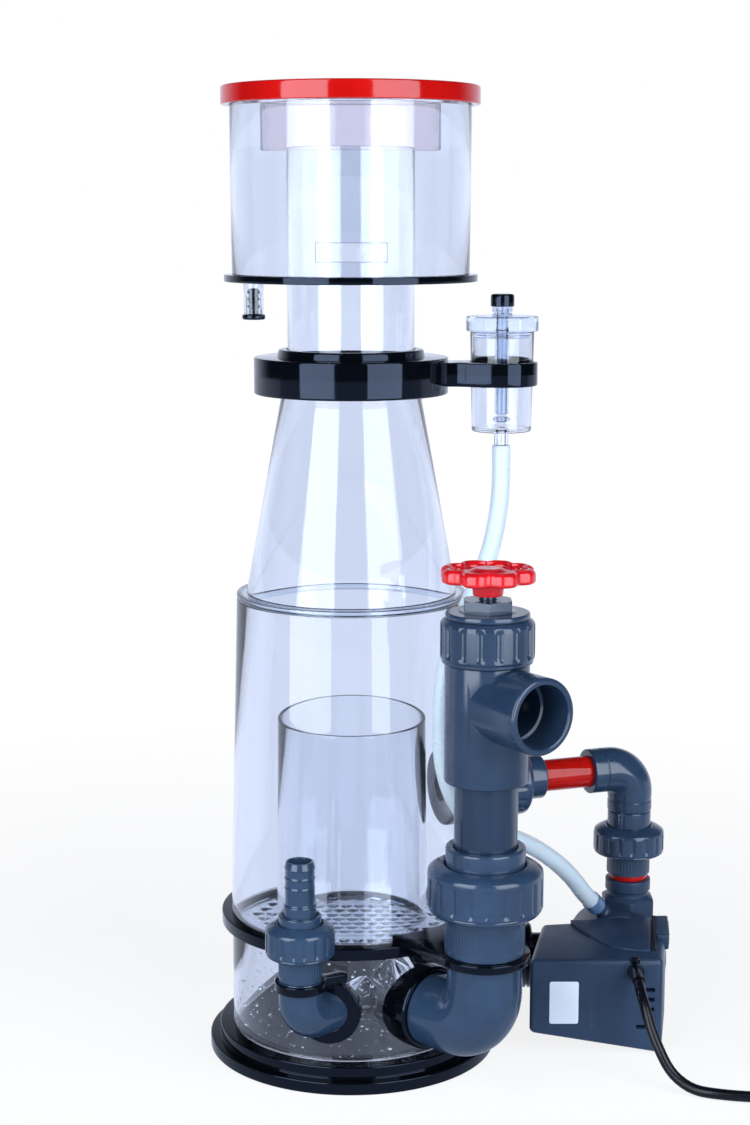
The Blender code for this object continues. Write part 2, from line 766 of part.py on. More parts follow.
shell_mesh = bpy.data.meshes.new("pump_shell")
y0, y1 = SHELL_Y
corners = [
    (117.4, y0, 15.2), (205.5, y0, 0.6), (217.0, y1, 0.6), (131.0, y1, 13.0),
    (117.4, y0, 65.2), (205.5, y0, 66.0), (217.0, y1, 72.0), (131.0, y1, 67.0),
]
faces = [(3, 2, 1, 0), (4, 5, 6, 7), (0, 1, 5, 4), (1, 2, 6, 5), (2, 3, 7, 6), (3, 0, 4, 7)]
shell_mesh.from_pydata([tuple(v * MM for v in corner) for corner in corners], [], faces)
shell = place(bpy.data.objects.new("pump_shell", shell_mesh), "grey")
soft = shell.modifiers.new("Soft", "BEVEL")
soft.width = 4.0 * MM
soft.segments = 2
cut(shell, turned("shell_cavity", rod(13.0, -10, 50), "grey", drum_at, back_y, 24, cutter=True))
cut(shell, turned("gland_hole", rod(5.4, -6, 10), "grey", GLAND, back_y, 16, cutter=True))
turned("impeller_shaft", rod(2.0, -7.6, 74.0), "ceramic", drum_at, back_y, 12)
turned("magnet_rotor", pipe(2.3, 11.5, 0.0, 46.0), "black", drum_at, back_y, 24)
needles = []
for i in range(20):
    angle = 2 * math.pi * i / 20
    half = math.pi / 20 * 0.55
    for radius, turn in ((14.0, -1.4), (26.0, -0.6), (26.0, 0.6), (14.0, 1.4)):
        way = angle + half * turn
        needles.append((radius * math.cos(way), radius * math.sin(way)))
wheel_pins = outline("needle_wheel", needles, 55.0, 70.0, "ceramic")
wheel_pins.rotation_mode = "QUATERNION"
wheel_pins.rotation_quaternion = Vector((0, 0, 1)).rotation_difference(Vector(back_y))
wheel_pins.location = Vector(drum_at) * MM
cut(wheel_pins, turned("needle_bore", rod(2.3, 40, 80), "ceramic", drum_at, back_y, 12, cutter=True))

# Strain relief, power cord, the wound spare length and the plug
gx, gy, gz = GLAND
turned(
    "cord_strain_relief",
    [(4.1, 15.5), (4.8, 15.5), (5.0, 1.8), (6.6, 1.3), (6.6, 0.3), (5.0, 0.3), (5.0, -4.8), (4.1, -4.8)],
    "rubber",
    (gx, gy, gz),
    (0, -1, 0),
    16,
)
cord = [
    (gx, gy + 4.5, gz),
    (gx, gy - 15.0, gz),
    (187.3, -51.5, 57.7),
    (187.3, -57.7, 55.8),
    (187.8, -63.4, 52.8),
    (188.9, -68.3, 48.7),
    (190.2, -72.2, 43.7),
    (191.7, -75.5, 38.3),
    (193.6, -78.6, 32.9),
    (195.9, -81.4, 27.5),
    (198.4, -84.0, 22.1),
    (201.3, -86.3, 16.7),
    (204.9, -88.9, 12.0),
    (209.4, -91.7, 8.3),
    (214.6, -94.6, 5.6),
    (220.3, -97.3, 4.2),
    (226.3, -99.7, 3.9),
    (232.5, -101.7, 3.9),
    (238.8, -103.4, 3.9),
    (245.2, -104.7, 3.9),
    (251.6, -105.6, 3.9),
    (258.1, -106.1, 3.9),
    (276.0, -106.2, 3.9),
    (293.5, -106.2, 3.9),
]
tube_curve("power_cord", cord, CORD_R, "rubber", 2)
cx, cy = COIL_XY
coil_profile = []
for i in range(12):
    angle = -2 * math.pi * i / 12 + math.pi / 2
    side, rise = COIL_TUBE_R * math.cos(angle), COIL_TUBE_R * math.sin(angle)
    coil_profile.append((COIL_R + side, 10.3 + rise))
turned("cord_coil", coil_profile, "rubber", (cx, cy, 0), steps=22)
plug = block("power_plug", (cx + 20, cy + 60.5, 1), (cx + 48, cy + 98.5, 19), "rubber")
for offset in (-7, 7):
    low, high = (cx + 34 + offset - 2, cy + 94, 8), (cx + 34 + offset + 2, cy + 114, 12)
    cut(plug, block("plug_pin", low, high, "rubber", cutter=True), "UNION")

# Air hose from the silencer down to the nipple on the volute
hose = [
    (97.0, 0.0, 403.6),
    (97.2, -0.5, 390.0),
    (96.6, -4.0, 374.0),
    (94.2, -11.0, 357.0),
    (90.0, -20.0, 340.0),
    (83.0, -31.0, 323.0),
    (75.0, -42.0, 307.0),
    (66.5, -54.0, 290.0),
    (60.5, -62.0, 272.0),
    (57.8, -65.0, 252.0),
    (57.5, -66.0, 230.0),
    (59.0, -67.0, 208.0),
    (64.0, -66.0, 190.0),
    (73.0, -60.5, 174.0),
    (85.0, -46.0, 160.5),
    (97.0, -28.0, 150.5),
    (110.0, -10.0, 142.0),
    (124.0, 5.0, 131.0),
    (138.6, 17.0, 117.5),
    (151.0, 28.0, 102.5),
    (160.0, 36.0, 89.0),
    (165.8, 41.4, 81.9),
    (169.4, 45.2, 77.4),
]
tube_curve("air_hose", hose, HOSE_R, "silicone", 2)
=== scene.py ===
import math

import bmesh
import bpy
import numpy as np
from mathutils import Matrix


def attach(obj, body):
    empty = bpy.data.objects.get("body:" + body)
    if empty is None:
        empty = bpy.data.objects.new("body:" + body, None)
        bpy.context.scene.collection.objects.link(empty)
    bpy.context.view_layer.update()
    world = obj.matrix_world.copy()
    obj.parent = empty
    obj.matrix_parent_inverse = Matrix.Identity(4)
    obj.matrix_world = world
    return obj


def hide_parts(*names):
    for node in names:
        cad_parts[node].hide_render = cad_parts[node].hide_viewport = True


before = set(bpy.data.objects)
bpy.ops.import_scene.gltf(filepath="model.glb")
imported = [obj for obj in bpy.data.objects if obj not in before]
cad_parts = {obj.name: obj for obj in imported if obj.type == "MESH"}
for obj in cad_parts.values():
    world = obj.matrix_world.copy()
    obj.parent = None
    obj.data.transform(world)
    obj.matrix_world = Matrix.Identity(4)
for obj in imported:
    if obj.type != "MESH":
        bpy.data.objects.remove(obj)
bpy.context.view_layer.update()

# Everything is typed in millimetres and shrunk to metres when a mesh is made.
# The skimmer's axis is X = 0, Y = 0, and it stands on Z = 0.
mm = 0.001
up = (0.0, 0.0, 1.0)


def level(degrees):
    # A level direction, in degrees from +X towards +Y.
    return np.array((math.cos(math.radians(degrees)), math.sin(math.radians(degrees)), 0.0))


# ---- camera and stage
camera = {"place": (0.0154, -1.340, 0.551), "tilt": 80.5, "lens": 66.56}
cameraData = bpy.data.cameras.new("camera")
cameraData.lens = camera["lens"]
cameraData.sensor_width = 36.0
cameraObject = bpy.data.objects.new("camera", cameraData)
cameraObject.location = camera["place"]
cameraObject.rotation_euler = (math.radians(camera["tilt"]), 0.0, 0.0)
bpy.context.scene.collection.objects.link(cameraObject)
bpy.context.scene.camera = cameraObject
bpy.context.scene.view_settings.view_transform = "Standard"
bpy.context.scene.cycles.max_bounces = 24
bpy.context.scene.cycles.transmission_bounces = 24
bpy.context.scene.cycles.transparent_max_bounces = 16
print("camera placed")


def linear(hexText):
    # Each channel: c / 12.92 when dark, else ((c + 0.055) / 1.055) to the power 2.4.
    parts = np.array([int(hexText[i : i + 2], 16) for i in (1, 3, 5)]) / 255
    light = np.where(parts <= 0.04045, parts / 12.92, ((parts + 0.055) / 1.055) ** 2.4)
    return (*light.tolist(), 1.0)


def addNode(tree, kind, settings=None, inputs=None):
    node = tree.nodes.new(kind)
    for name, value in (settings or {}).items():
        setattr(node, name, value)
    for name, value in (inputs or {}).items():
        if isinstance(value, bpy.types.NodeSocket):
            tree.links.new(value, node.inputs[name])
        else:
            node.inputs[name].default_value = value
    return node


lights = {
    "left": {"azimuth": -39.5, "power": 50.0}, "right": {"azimuth": 40.5, "power": 46.0},
    "distance": 1.5, "height": 0.75, "size": (1.15, 2.5), "colour": (0.82, 0.9, 1.0)
}
for name in ("left", "right"):
    lamp = bpy.data.lights.new("softbox_" + name, "AREA")
    lamp.shape = "RECTANGLE"
    lamp.size, lamp.size_y = lights["size"]
    lamp.energy = lights[name]["power"]
    lamp.color = lights["colour"]
    box = bpy.data.objects.new("softbox_" + name, lamp)
    turn = math.radians(lights[name]["azimuth"])
    reach = lights["distance"]
    box.location = (reach * math.sin(turn), -reach * math.cos(turn), lights["height"])
    box.rotation_euler = (math.radians(90.0), 0.0, turn)
    box.visible_camera = False
    bpy.context.scene.collection.objects.link(box)

# The room is bright only low behind the stand and dim everywhere else.
# card is the tone of the floor's painted glow towards the viewer, which lights the pieces from
# below.
room = {
    "white": "#DBE3F6", "dim": "#202633", "card": "#98A4BA", "plain": "#FFFFFF", "strength": 1.25
}
world = bpy.data.worlds.new("studio")
world.use_nodes = True
bpy.context.scene.world = world
tree = world.node_tree
tree.nodes.clear()
way = addNode(tree, "ShaderNodeTexCoord")
split = addNode(tree, "ShaderNodeSeparateXYZ", None, {0: way.outputs["Generated"]})
behind = addNode(
    tree, "ShaderNodeMapRange", {"interpolation_type": "SMOOTHSTEP"},
    {"Value": split.outputs["Y"], "From Min": 0.3, "From Max": 0.85}
)
low = addNode(
    tree, "ShaderNodeMapRange", {"interpolation_type": "SMOOTHSTEP"},
    {"Value": split.outputs["Z"], "From Min": 0.6, "From Max": 0.1}
)
shade = addNode(
    tree, "ShaderNodeMath", {"operation": "MULTIPLY"}, {0: behind.outputs[0], 1: low.outputs[0]}
)
tone = addNode(
    tree, "ShaderNodeMix", {"data_type": "RGBA"},
    {0: shade.outputs[0], 6: linear(room["dim"]), 7: linear(room["white"])}
)
glow = addNode(
    tree, "ShaderNodeBackground", None, {"Color": tone.outputs[2], "Strength": room["strength"]}
)
plain = addNode(tree, "ShaderNodeBackground", None, {"Color": linear(room["plain"])})
seen = addNode(tree, "ShaderNodeLightPath")
both = addNode(
    tree, "ShaderNodeMixShader", None,
    {0: seen.outputs["Is Camera Ray"], 1: glow.outputs[0], 2: plain.outputs[0]}
)
addNode(tree, "ShaderNodeOutputWorld", None, {"Surface": both.outputs[0]})

# ---- materials


def newMaterial(name, colour, roughness, ior=1.46, **more):
    # A principled shader with its own sockets set; more holds further sockets by name.
    material = bpy.data.materials.new(name)
    material.use_nodes = True
    shader = material.node_tree.nodes["Principled BSDF"]
    shader.inputs["Base Color"].default_value = linear(colour)
    shader.inputs["Roughness"].default_value = roughness
    shader.inputs["IOR"].default_value = ior
    for socket, value in more.items():
        shader.inputs[socket.replace("_", " ")].default_value = value
    return material


def addRelief(material, grain, depth, stretch=(1, 1, 1), detail=2.0, patchy=None):
    # Noise of the given grain in mm raises the surface by depth in mm, and patchy = (low, high)
    # spreads the roughness over 25 mm clouds.
    tree = material.node_tree
    shader = tree.nodes["Principled BSDF"]
    place = addNode(tree, "ShaderNodeTexCoord")
    mapped = addNode(
        tree, "ShaderNodeMapping", None, {"Vector": place.outputs["Object"], "Scale": stretch}
    )
    noise = addNode(
        tree, "ShaderNodeTexNoise", None,
        {"Vector": mapped.outputs[0], "Scale": 1 / (grain * mm), "Detail": detail}
    )
    bump = addNode(
        tree, "ShaderNodeBump", None,
        {"Height": noise.outputs[0], "Strength": 1.0, "Distance": depth * mm}
    )
    tree.links.new(bump.outputs[0], shader.inputs["Normal"])
    if patchy:
        cloud = addNode(
            tree, "ShaderNodeTexNoise", None,
            {"Vector": place.outputs["Object"], "Scale": 1 / (25 * mm), "Detail": 4.0}
        )
        spread = addNode(
            tree, "ShaderNodeMapRange", None,
            {
                "Value": cloud.outputs[0], "From Min": 0.35, "From Max": 0.65, "To Min": patchy[0],
                "To Max": patchy[1]
            }
        )
        tree.links.new(spread.outputs[0], shader.inputs["Roughness"])
    return material


def addTone(material, light, dark, grain, stretch=(1, 1, 1)):
    # The colour drifts between two near tones over clouds of the given size in mm.
    tree = material.node_tree
    shader = tree.nodes["Principled BSDF"]
    place = addNode(tree, "ShaderNodeTexCoord")
    mapped = addNode(
        tree, "ShaderNodeMapping", None, {"Vector": place.outputs["Object"], "Scale": stretch}
    )
    cloud = addNode(
        tree, "ShaderNodeTexNoise", None,
        {"Vector": mapped.outputs[0], "Scale": 1 / (grain * mm), "Detail": 3.0}
    )
    ramp = addNode(
        tree, "ShaderNodeMapRange", None,
        {"Value": cloud.outputs[0], "From Min": 0.3, "From Max": 0.7}
    )
    mixed = addNode(
        tree, "ShaderNodeMix", {"data_type": "RGBA"},
        {0: ramp.outputs[0], 6: linear(dark), 7: linear(light)}
    )
    tree.links.new(mixed.outputs[2], shader.inputs["Base Color"])
    return material


# Extruded and cast clear acrylic: polished, so it mirrors the softboxes, with a cool blue cast
# and faint draw lines along the tube.
clearAcrylic = newMaterial("clearAcrylic", "#F5F7FB", 0.02, 1.49, Transmission_Weight=1.0)
addRelief(clearAcrylic, 9.0, 0.010, (1, 1, 0.06), 1.0)
# Thin clear film-like acrylic of the lid's sleeve, with a trace of the lid's red painted in:
# a painted reflection of the red lid, tinting the whole sleeve.
sleeveAcrylic = newMaterial("sleeveAcrylic", "#FBF5F7", 0.02, 1.22, Transmission_Weight=1.0)
addRelief(sleeveAcrylic, 9.0, 0.008, (1, 1, 0.06), 1.0)
# The same sheet where it was sawn and polished on edge: a deeper blue.
clearAcrylicEdge = newMaterial("clearAcrylicEdge", "#D8E1F0", 0.05, 1.49, Transmission_Weight=1.0)
addRelief(clearAcrylicEdge, 4.0, 0.01, (1, 1, 0.3), 1.0)
# Cast black acrylic: a hard mirror gloss with turning marks too fine to see, drawn as a soft
# ripple.
blackAcrylic = newMaterial(
    "blackAcrylic", "#05070B", 0.06, 1.49, Specular_IOR_Level=0.4, Specular_Tint=linear("#BCD0F5")
)
addRelief(blackAcrylic, 14.0, 0.008, (1, 1, 1), 2.0, (0.04, 0.1))
# Injection-moulded grey PVC fittings: satin, with the sparkle of a spark-eroded mould.
greyPvc = newMaterial("greyPvc", "#2B3E56", 0.15, 1.53)
addTone(greyPvc, "#2E425B", "#283A50", 18.0)
addRelief(greyPvc, 0.9, 0.004, (1, 1, 1), 3.0, (0.12, 0.18))
# Extruded grey PVC pipe: smoother than the mouldings, with draw lines along it.
greyPipe = newMaterial("greyPipe", "#1E2D41", 0.12, 1.53)
addTone(greyPipe, "#213147", "#1B2A3C", 6.0, (1, 1, 0.05))
addRelief(greyPipe, 1.6, 0.005, (1, 1, 0.04), 2.0, (0.1, 0.15))
# Darker grey PVC of the valve body.
valvePvc = newMaterial("valvePvc", "#25364C", 0.15, 1.53)
addTone(valvePvc, "#283A51", "#213247", 18.0)
addRelief(valvePvc, 0.9, 0.004, (1, 1, 1), 3.0, (0.12, 0.18))
# Moulded ABS of the pump housing: matt, fine leather-like mould texture.
pumpAbs = newMaterial("pumpAbs", "#293A52", 0.34, 1.45, Specular_IOR_Level=0.4)
addTone(pumpAbs, "#2C3E57", "#25364C", 22.0)
addRelief(pumpAbs, 0.8, 0.012, (1, 1, 1), 3.0, (0.3, 0.4))
# Glossy black moulded plastic of the gaskets and caps.
glossBlack = newMaterial("glossBlack", "#06080D", 0.12, 1.5, Specular_Tint=linear("#BCD0F5"))
addRelief(glossBlack, 5.0, 0.008, (1, 1, 1), 2.0, (0.08, 0.16))
# Red cast acrylic of the cup lid: opaque and polished.
redAcrylic = newMaterial("redAcrylic", "#B40E0A", 0.08, 1.49)
addTone(redAcrylic, "#BA100C", "#AC0C09", 30.0)
addRelief(redAcrylic, 12.0, 0.006, (1, 1, 1), 2.0, (0.06, 0.11))
# Red glass-filled handwheel plastic: satin with a mould texture.
redAbs = newMaterial("redAbs", "#D2141C", 0.17, 1.53)
addTone(redAbs, "#D8171F", "#C81219", 12.0)
addRelief(redAbs, 0.9, 0.005, (1, 1, 1), 3.0, (0.13, 0.2))
# Red extruded PVC pipe: glossy, darker than the lid.
redPipeVinyl = newMaterial("redPipeVinyl", "#B4120C", 0.07, 1.5, Specular_IOR_Level=0.3)
addTone(redPipeVinyl, "#BA140E", "#AC100A", 8.0)
addRelief(redPipeVinyl, 2.0, 0.003, (1, 1, 1), 2.0, (0.05, 0.09))
# Extruded silicone hose: milky and slightly tacky, light scatters in the wall.
silicone = newMaterial(
    "silicone", "#F2F3F7", 0.3, 1.41, Transmission_Weight=0.25, Subsurface_Weight=0.3
)
addRelief(silicone, 3.0, 0.02, (1, 1, 0.3), 2.0, (0.26, 0.36))
# The soft blue-tinted sleeve pushed over the hose end.
sleeveVinyl = newMaterial("sleeveVinyl", "#93B4DE", 0.2, 1.45, Transmission_Weight=0.7)
addRelief(sleeveVinyl, 3.0, 0.01, (1, 1, 0.3), 2.0, (0.16, 0.26))
# Nitrile rubber ring and cable boot: black, dull.
blackRubber = newMaterial("blackRubber", "#0A0C10", 0.5, 1.52)
addRelief(blackRubber, 0.7, 0.02, (1, 1, 1), 3.0, (0.42, 0.58))
# Soft vinyl cable jacket: black with a long soft highlight.
cableVinyl = newMaterial("cableVinyl", "#080B11", 0.26, 1.5, Specular_IOR_Level=0.35)
addRelief(cableVinyl, 1.5, 0.015, (1, 1, 1), 2.0, (0.22, 0.32))
# Printed polyester label film, left blank.
labelFilm = newMaterial("labelFilm", "#E4E8F2", 0.35, 1.5)
addRelief(labelFilm, 2.0, 0.004, (1, 1, 1), 2.0, (0.3, 0.4))
# Clear-backed film of the cup label: a faint white veil.
labelClear = newMaterial("labelClear", "#FCFCFE", 0.12, 1.35, Transmission_Weight=0.85)
addRelief(labelClear, 2.0, 0.003, (1, 1, 1), 2.0, (0.1, 0.18))
# The thin printed line round it.
labelRim = newMaterial("labelRim", "#5A6070", 0.4, 1.45)
addRelief(labelRim, 1.0, 0.002, (1, 1, 1), 2.0, (0.35, 0.45))
# Water left in the chamber: small clear beads.
water = newMaterial("water", "#FFFFFF", 0.0, 1.333, Transmission_Weight=1.0)
addRelief(water, 6.0, 0.002)
# Sintered ceramic of the shaft and white moulded pin wheel.
ceramic = newMaterial("ceramic", "#D9D4C8", 0.3, 1.6)
addRelief(ceramic, 0.8, 0.01, (1, 1, 1), 2.0, (0.25, 0.36))
print("materials ready")

# ---- mesh helpers


def gridFaces(rows, columns, closeRows, closeColumns):
    # Quads between neighbouring rows and columns of a grid, wrapped round where asked.
    i = np.arange(rows if closeRows else rows - 1)[:, None]
    j = np.arange(columns if closeColumns else columns - 1)[None, :]
    a = i * columns + j
    b = i * columns + (j + 1) % columns
    c = ((i + 1) % rows) * columns + (j + 1) % columns
    d = ((i + 1) % rows) * columns + j
    return np.stack([a, b, c, d], axis=-1).reshape(-1, 4)


def makePiece(name, points, faces, material, body, replaced=(), sharp=32.0, weld=True):
    # Points in mm and faces as index rows become one closed mesh, its doubles merged and its
    # faces turned outwards.
    mesh = bpy.data.meshes.new(name)
    points = np.asarray(points, float).reshape(-1, 3) * mm
    mesh.from_pydata(points, [], faces if isinstance(faces, list) else faces.tolist())
    if weld:
        bm = bmesh.new()
        bm.from_mesh(mesh)
        bmesh.ops.remove_doubles(bm, verts=bm.verts, dist=2e-7)
        bmesh.ops.delete(bm, geom=[e for e in bm.edges if not e.link_faces], context="EDGES")
        bmesh.ops.recalc_face_normals(bm, faces=bm.faces)
        bm.to_mesh(mesh)
        bm.free()
    piece = bpy.data.objects.new(name, mesh)
    bpy.context.scene.collection.objects.link(piece)
    mesh.materials.append(material)
    smoothPiece(piece, sharp)
    if body:
        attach(piece, body)
        if replaced:
            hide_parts(*replaced)
    return piece


def smoothPiece(piece, sharp):
    piece.data.shade_smooth()
    piece.data.set_sharp_from_angle(angle=math.radians(sharp))


def softened(profile, soft, steps=5):
    # Each corner gives way to a quadratic arc that starts and ends soft mm from it, or 45% of
    # the shorter side; corners on the axis stay.
    p = np.array([q[:2] for q in profile], float)
    want = np.array([q[2] if len(q) > 2 else soft for q in profile], float)
    before, after = np.roll(p, 1, axis=0) - p, np.roll(p, -1, axis=0) - p
    longBefore = np.linalg.norm(before, axis=1)
    longAfter = np.linalg.norm(after, axis=1)
    cutBack = np.minimum(want, 0.45 * np.minimum(longBefore, longAfter))
    cutBack = np.where(p[:, 0] < 1e-6, 0.0, cutBack)
    start = p + before / longBefore[:, None] * cutBack[:, None]
    end = p + after / longAfter[:, None] * cutBack[:, None]
    t = np.linspace(0, 1, steps)[None, :, None]
    arcs = (1 - t) ** 2 * start[:, None] + 2 * t * (1 - t) * p[:, None] + t**2 * end[:, None]
    return arcs.reshape(-1, 2)


def resampled(loop, step):
    # The closed loop's own points, and more between them wherever two are further apart than
    # step.
    nextOne = np.roll(loop, -1, axis=0)
    gaps = np.linalg.norm(nextOne - loop, axis=1)
    share = np.maximum(1, np.ceil(gaps / step).astype(int))
    first = np.repeat(np.arange(len(loop)), share)
    inside = np.arange(share.sum()) - np.repeat(np.cumsum(share) - share, share)
    t = (inside / share[first])[:, None]
    return loop[first] * (1 - t) + nextOne[first] * t


def axesOf(along):
    # Two unit directions square to along, the first of them level.
    along = np.array(along, float) / np.linalg.norm(along)
    if abs(along[2]) > 0.9999:
        side = np.array((1.0, 0.0, 0.0))
    else:
        side = np.cross(up, along)
        side /= np.linalg.norm(side)
    return side, np.cross(along, side), along


def turnedPoints(profile, at, along, steps, soft, fine, reshape, arc=5):
    # Point (u, a) = at + r(u) cos a side + r(u) sin a over + h(u) along, with r and h reshaped
    # by angle where asked.
    loop = softened(profile, soft, arc)
    if fine:
        loop = resampled(loop, fine)
    angle = 2 * math.pi * np.arange(steps)[None, :] / steps
    r = loop[:, :1] + 0 * angle
    h = loop[:, 1:] + 0 * angle
    if reshape:
        r, h = reshape(r, h, angle)
    side, over, along = axesOf(along)
    points = np.array(at, float) + (r * np.cos(angle))[..., None] * side
    points = points + (r * np.sin(angle))[..., None] * over
    return points + h[..., None] * along


def turned(
    name, profile, material, body="skimmer_body", replaced=(), at=(0, 0, 0), along=up,
    steps=96, soft=0.5, fine=None, reshape=None, sharp=32.0
):
    # A closed profile of (radius, height) corners, turned round its axis.
    points = turnedPoints(profile, at, along, steps, soft, fine, reshape)
    faces = gridFaces(points.shape[0], steps, True, True)
    return makePiece(name, points, faces, material, body, replaced, sharp)


def tubeProfile(inner, outer, low, high):
    return [(inner, high), (outer, high), (outer, low), (inner, low)]


def roundProfile(middle, height, radius):
    # A full circle of twelve corners: turned, it is a ring of round section.
    angles = np.linspace(0, 2 * math.pi, 13)[:-1]
    return [(middle + radius * math.cos(a), height + radius * math.sin(a)) for a in angles]


def settle(piece, sharp=32.0):
    # The modifiers' result becomes the piece's own mesh.
    bpy.context.view_layer.update()
    graph = bpy.context.evaluated_depsgraph_get()
    mesh = bpy.data.meshes.new_from_object(piece.evaluated_get(graph))
    piece.modifiers.clear()
    piece.data = mesh
    smoothPiece(piece, sharp)
    return piece


def carve(piece, cutters, operation="DIFFERENCE", sharp=32.0):
    # Cuts each cutter away, or adds it, then throws the cutters out.
    for cutter in cutters:
        step = piece.modifiers.new("carve", "BOOLEAN")
        step.operation = operation
        step.solver = "EXACT"
        step.object = cutter
    settle(piece, sharp)
    for cutter in cutters:
        bpy.data.objects.remove(cutter, do_unlink=True)
    return piece


def drill(radius, low, high, at, along, steps=64):
    profile = [(0, high), (radius, high), (radius, low), (0, low)]
    return turned("drill", profile, blackAcrylic, None, at=at, along=along, steps=steps, soft=0)


def smoothPath(route, spacing):
    # A cubic through every point of the route: Hermite pieces with slopes from the neighbours,
    # spaced evenly.
    p = np.array(route, float)
    s = np.concatenate([[0], np.cumsum(np.linalg.norm(np.diff(p, axis=0), axis=1))])
    slope = np.gradient(p, s, axis=0)
    where = np.linspace(0, s[-1], max(2, int(round(s[-1] / spacing)) + 1))
    k = np.clip(np.searchsorted(s, where, side="right") - 1, 0, len(s) - 2)
    h = (s[k + 1] - s[k])[:, None]
    t = (where - s[k])[:, None] / h
    path = (2 * t**3 - 3 * t**2 + 1) * p[k] + (t**3 - 2 * t**2 + t) * h * slope[k]
    path = path + (-2 * t**3 + 3 * t**2) * p[k + 1]
    return path + (t**3 - t**2) * h * slope[k + 1]


def tubePoints(path, outer, inner, steps, normal):
    # Point (i, a) = path(i) + r (cos a N + sin a B), where B = T x N and N is square to the
    # path's direction T and nearest to normal; the outer skin runs out and the inner one back.
    path = np.asarray(path, float)
    tangent = np.gradient(path, axis=0)
    tangent /= np.linalg.norm(tangent, axis=1)[:, None]
    across = np.array(normal, float) - (tangent @ np.array(normal, float))[:, None] * tangent
    across /= np.linalg.norm(across, axis=1)[:, None]
    other = np.cross(tangent, across)
    angle = 2 * math.pi * np.arange(steps) / steps
    ring = np.cos(angle)[None, :, None] * across[:, None]
    ring = ring + np.sin(angle)[None, :, None] * other[:, None]
    outside = path[:, None] + np.broadcast_to(outer, len(path))[:, None, None] * ring
    inside = path[:, None] + np.broadcast_to(inner, len(path))[:, None, None] * ring
    return np.concatenate([outside, inside[::-1]])


# ---- cords: the pump's lead and the air hose
plugShape = {"low": (345.0, -3.7, 1.0), "high": (373.0, 34.3, 19.0), "edge": 4.0}
lead = {
    "radius": 3.5, "length": 1800.0, "coil": (325.0, -64.2), "ring": 38.65, "rise": 6.1,
    "slide": 52.0
}
leadRoute = [
    (187.3, -25.5, 58.3), (187.3, -35.0, 58.3), (187.3, -45.0, 58.3), (187.3, -51.5, 57.7),
    (187.3, -57.7, 55.8), (187.8, -63.4, 52.8), (188.9, -68.3, 48.7), (190.2, -72.2, 43.7),
    (191.7, -75.5, 38.3), (193.6, -78.6, 32.9), (195.9, -81.4, 27.5), (198.4, -84.0, 22.1),
    (201.3, -86.3, 16.7), (204.9, -88.9, 12.0), (209.4, -91.7, 8.3), (214.6, -94.6, 5.6),
    (220.3, -97.3, 4.2), (226.3, -99.7, 3.9), (232.5, -101.7, 3.9), (238.8, -103.4, 3.9),
    (245.2, -104.7, 3.9), (251.6, -105.6, 3.9), (258.1, -106.1, 3.9), (276.0, -106.2, 3.9),
    (293.5, -106.2, 3.9), (309.0, -106.2, 3.85)
]


def leadLine(ring):
    # The wound part: the angle runs 6.25 turns, and each turn lies in its own place of a 2-3-2
    # bundle, easing to the next place over a part turn.
    degrees = np.arange(0.0, 2250.1, 6.0)
    changes = (360.0 - lead["slide"]) * np.arange(1, 7)
    rows = np.array([(3.5, 0), (-3.5, 0), (-7, 1), (0, 1), (7, 1), (3.5, 2), (-3.5, 2)])
    share = np.clip((degrees[:, None] - changes[None, :]) / lead["slide"], 0, 1)
    share = 0.5 - 0.5 * np.cos(math.pi * share)
    placed = rows[0] + (share[:, :, None] * np.diff(rows, axis=0)[None]).sum(axis=1)
    angle = np.radians(degrees - 90.0)
    radius = ring + placed[:, 0]
    wound = np.stack(
        [
            lead["coil"][0] + radius * np.cos(angle), lead["coil"][1] + radius * np.sin(angle),
            3.8 + lead["rise"] * placed[:, 1]
        ],
        axis=1
    )
    last = wound[-1]
    drop = np.linspace(0, 1, 7)
    run = last[1] + 24.0 + (plugShape["low"][1] + 2.0 - last[1] - 24.0) * drop
    fall = last[2] - (last[2] - 10.0) * (0.5 - 0.5 * np.cos(math.pi * drop))
    tail = np.stack([0 * drop + last[0], run, fall], axis=1)
    return smoothPath(np.concatenate([leadRoute, wound, tail]), 4.0)


def lineLength(line):
    return np.linalg.norm(np.diff(line, axis=0), axis=1).sum()


leadPoints = leadLine(lead["ring"])
print("lead length", round(lineLength(leadPoints), 1), "mm")
leadCurve = bpy.data.curves.new("powerLead", "CURVE")
leadCurve.dimensions = "3D"
leadCurve.bevel_depth = lead["radius"] * mm
leadCurve.bevel_resolution = 4
leadCurve.use_fill_caps = True
leadSpline = leadCurve.splines.new("POLY")
leadSpline.points.add(len(leadPoints) - 1)
leadSpline.points.foreach_set("co", np.c_[leadPoints * mm, np.ones(len(leadPoints))].ravel())
leadSpline.use_smooth = True
powerLead = bpy.data.objects.new("powerLead", leadCurve)
bpy.context.scene.collection.objects.link(powerLead)
leadCurve.materials.append(cableVinyl)
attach(powerLead, "skimmer_body")
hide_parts("power_cord", "cord_coil")


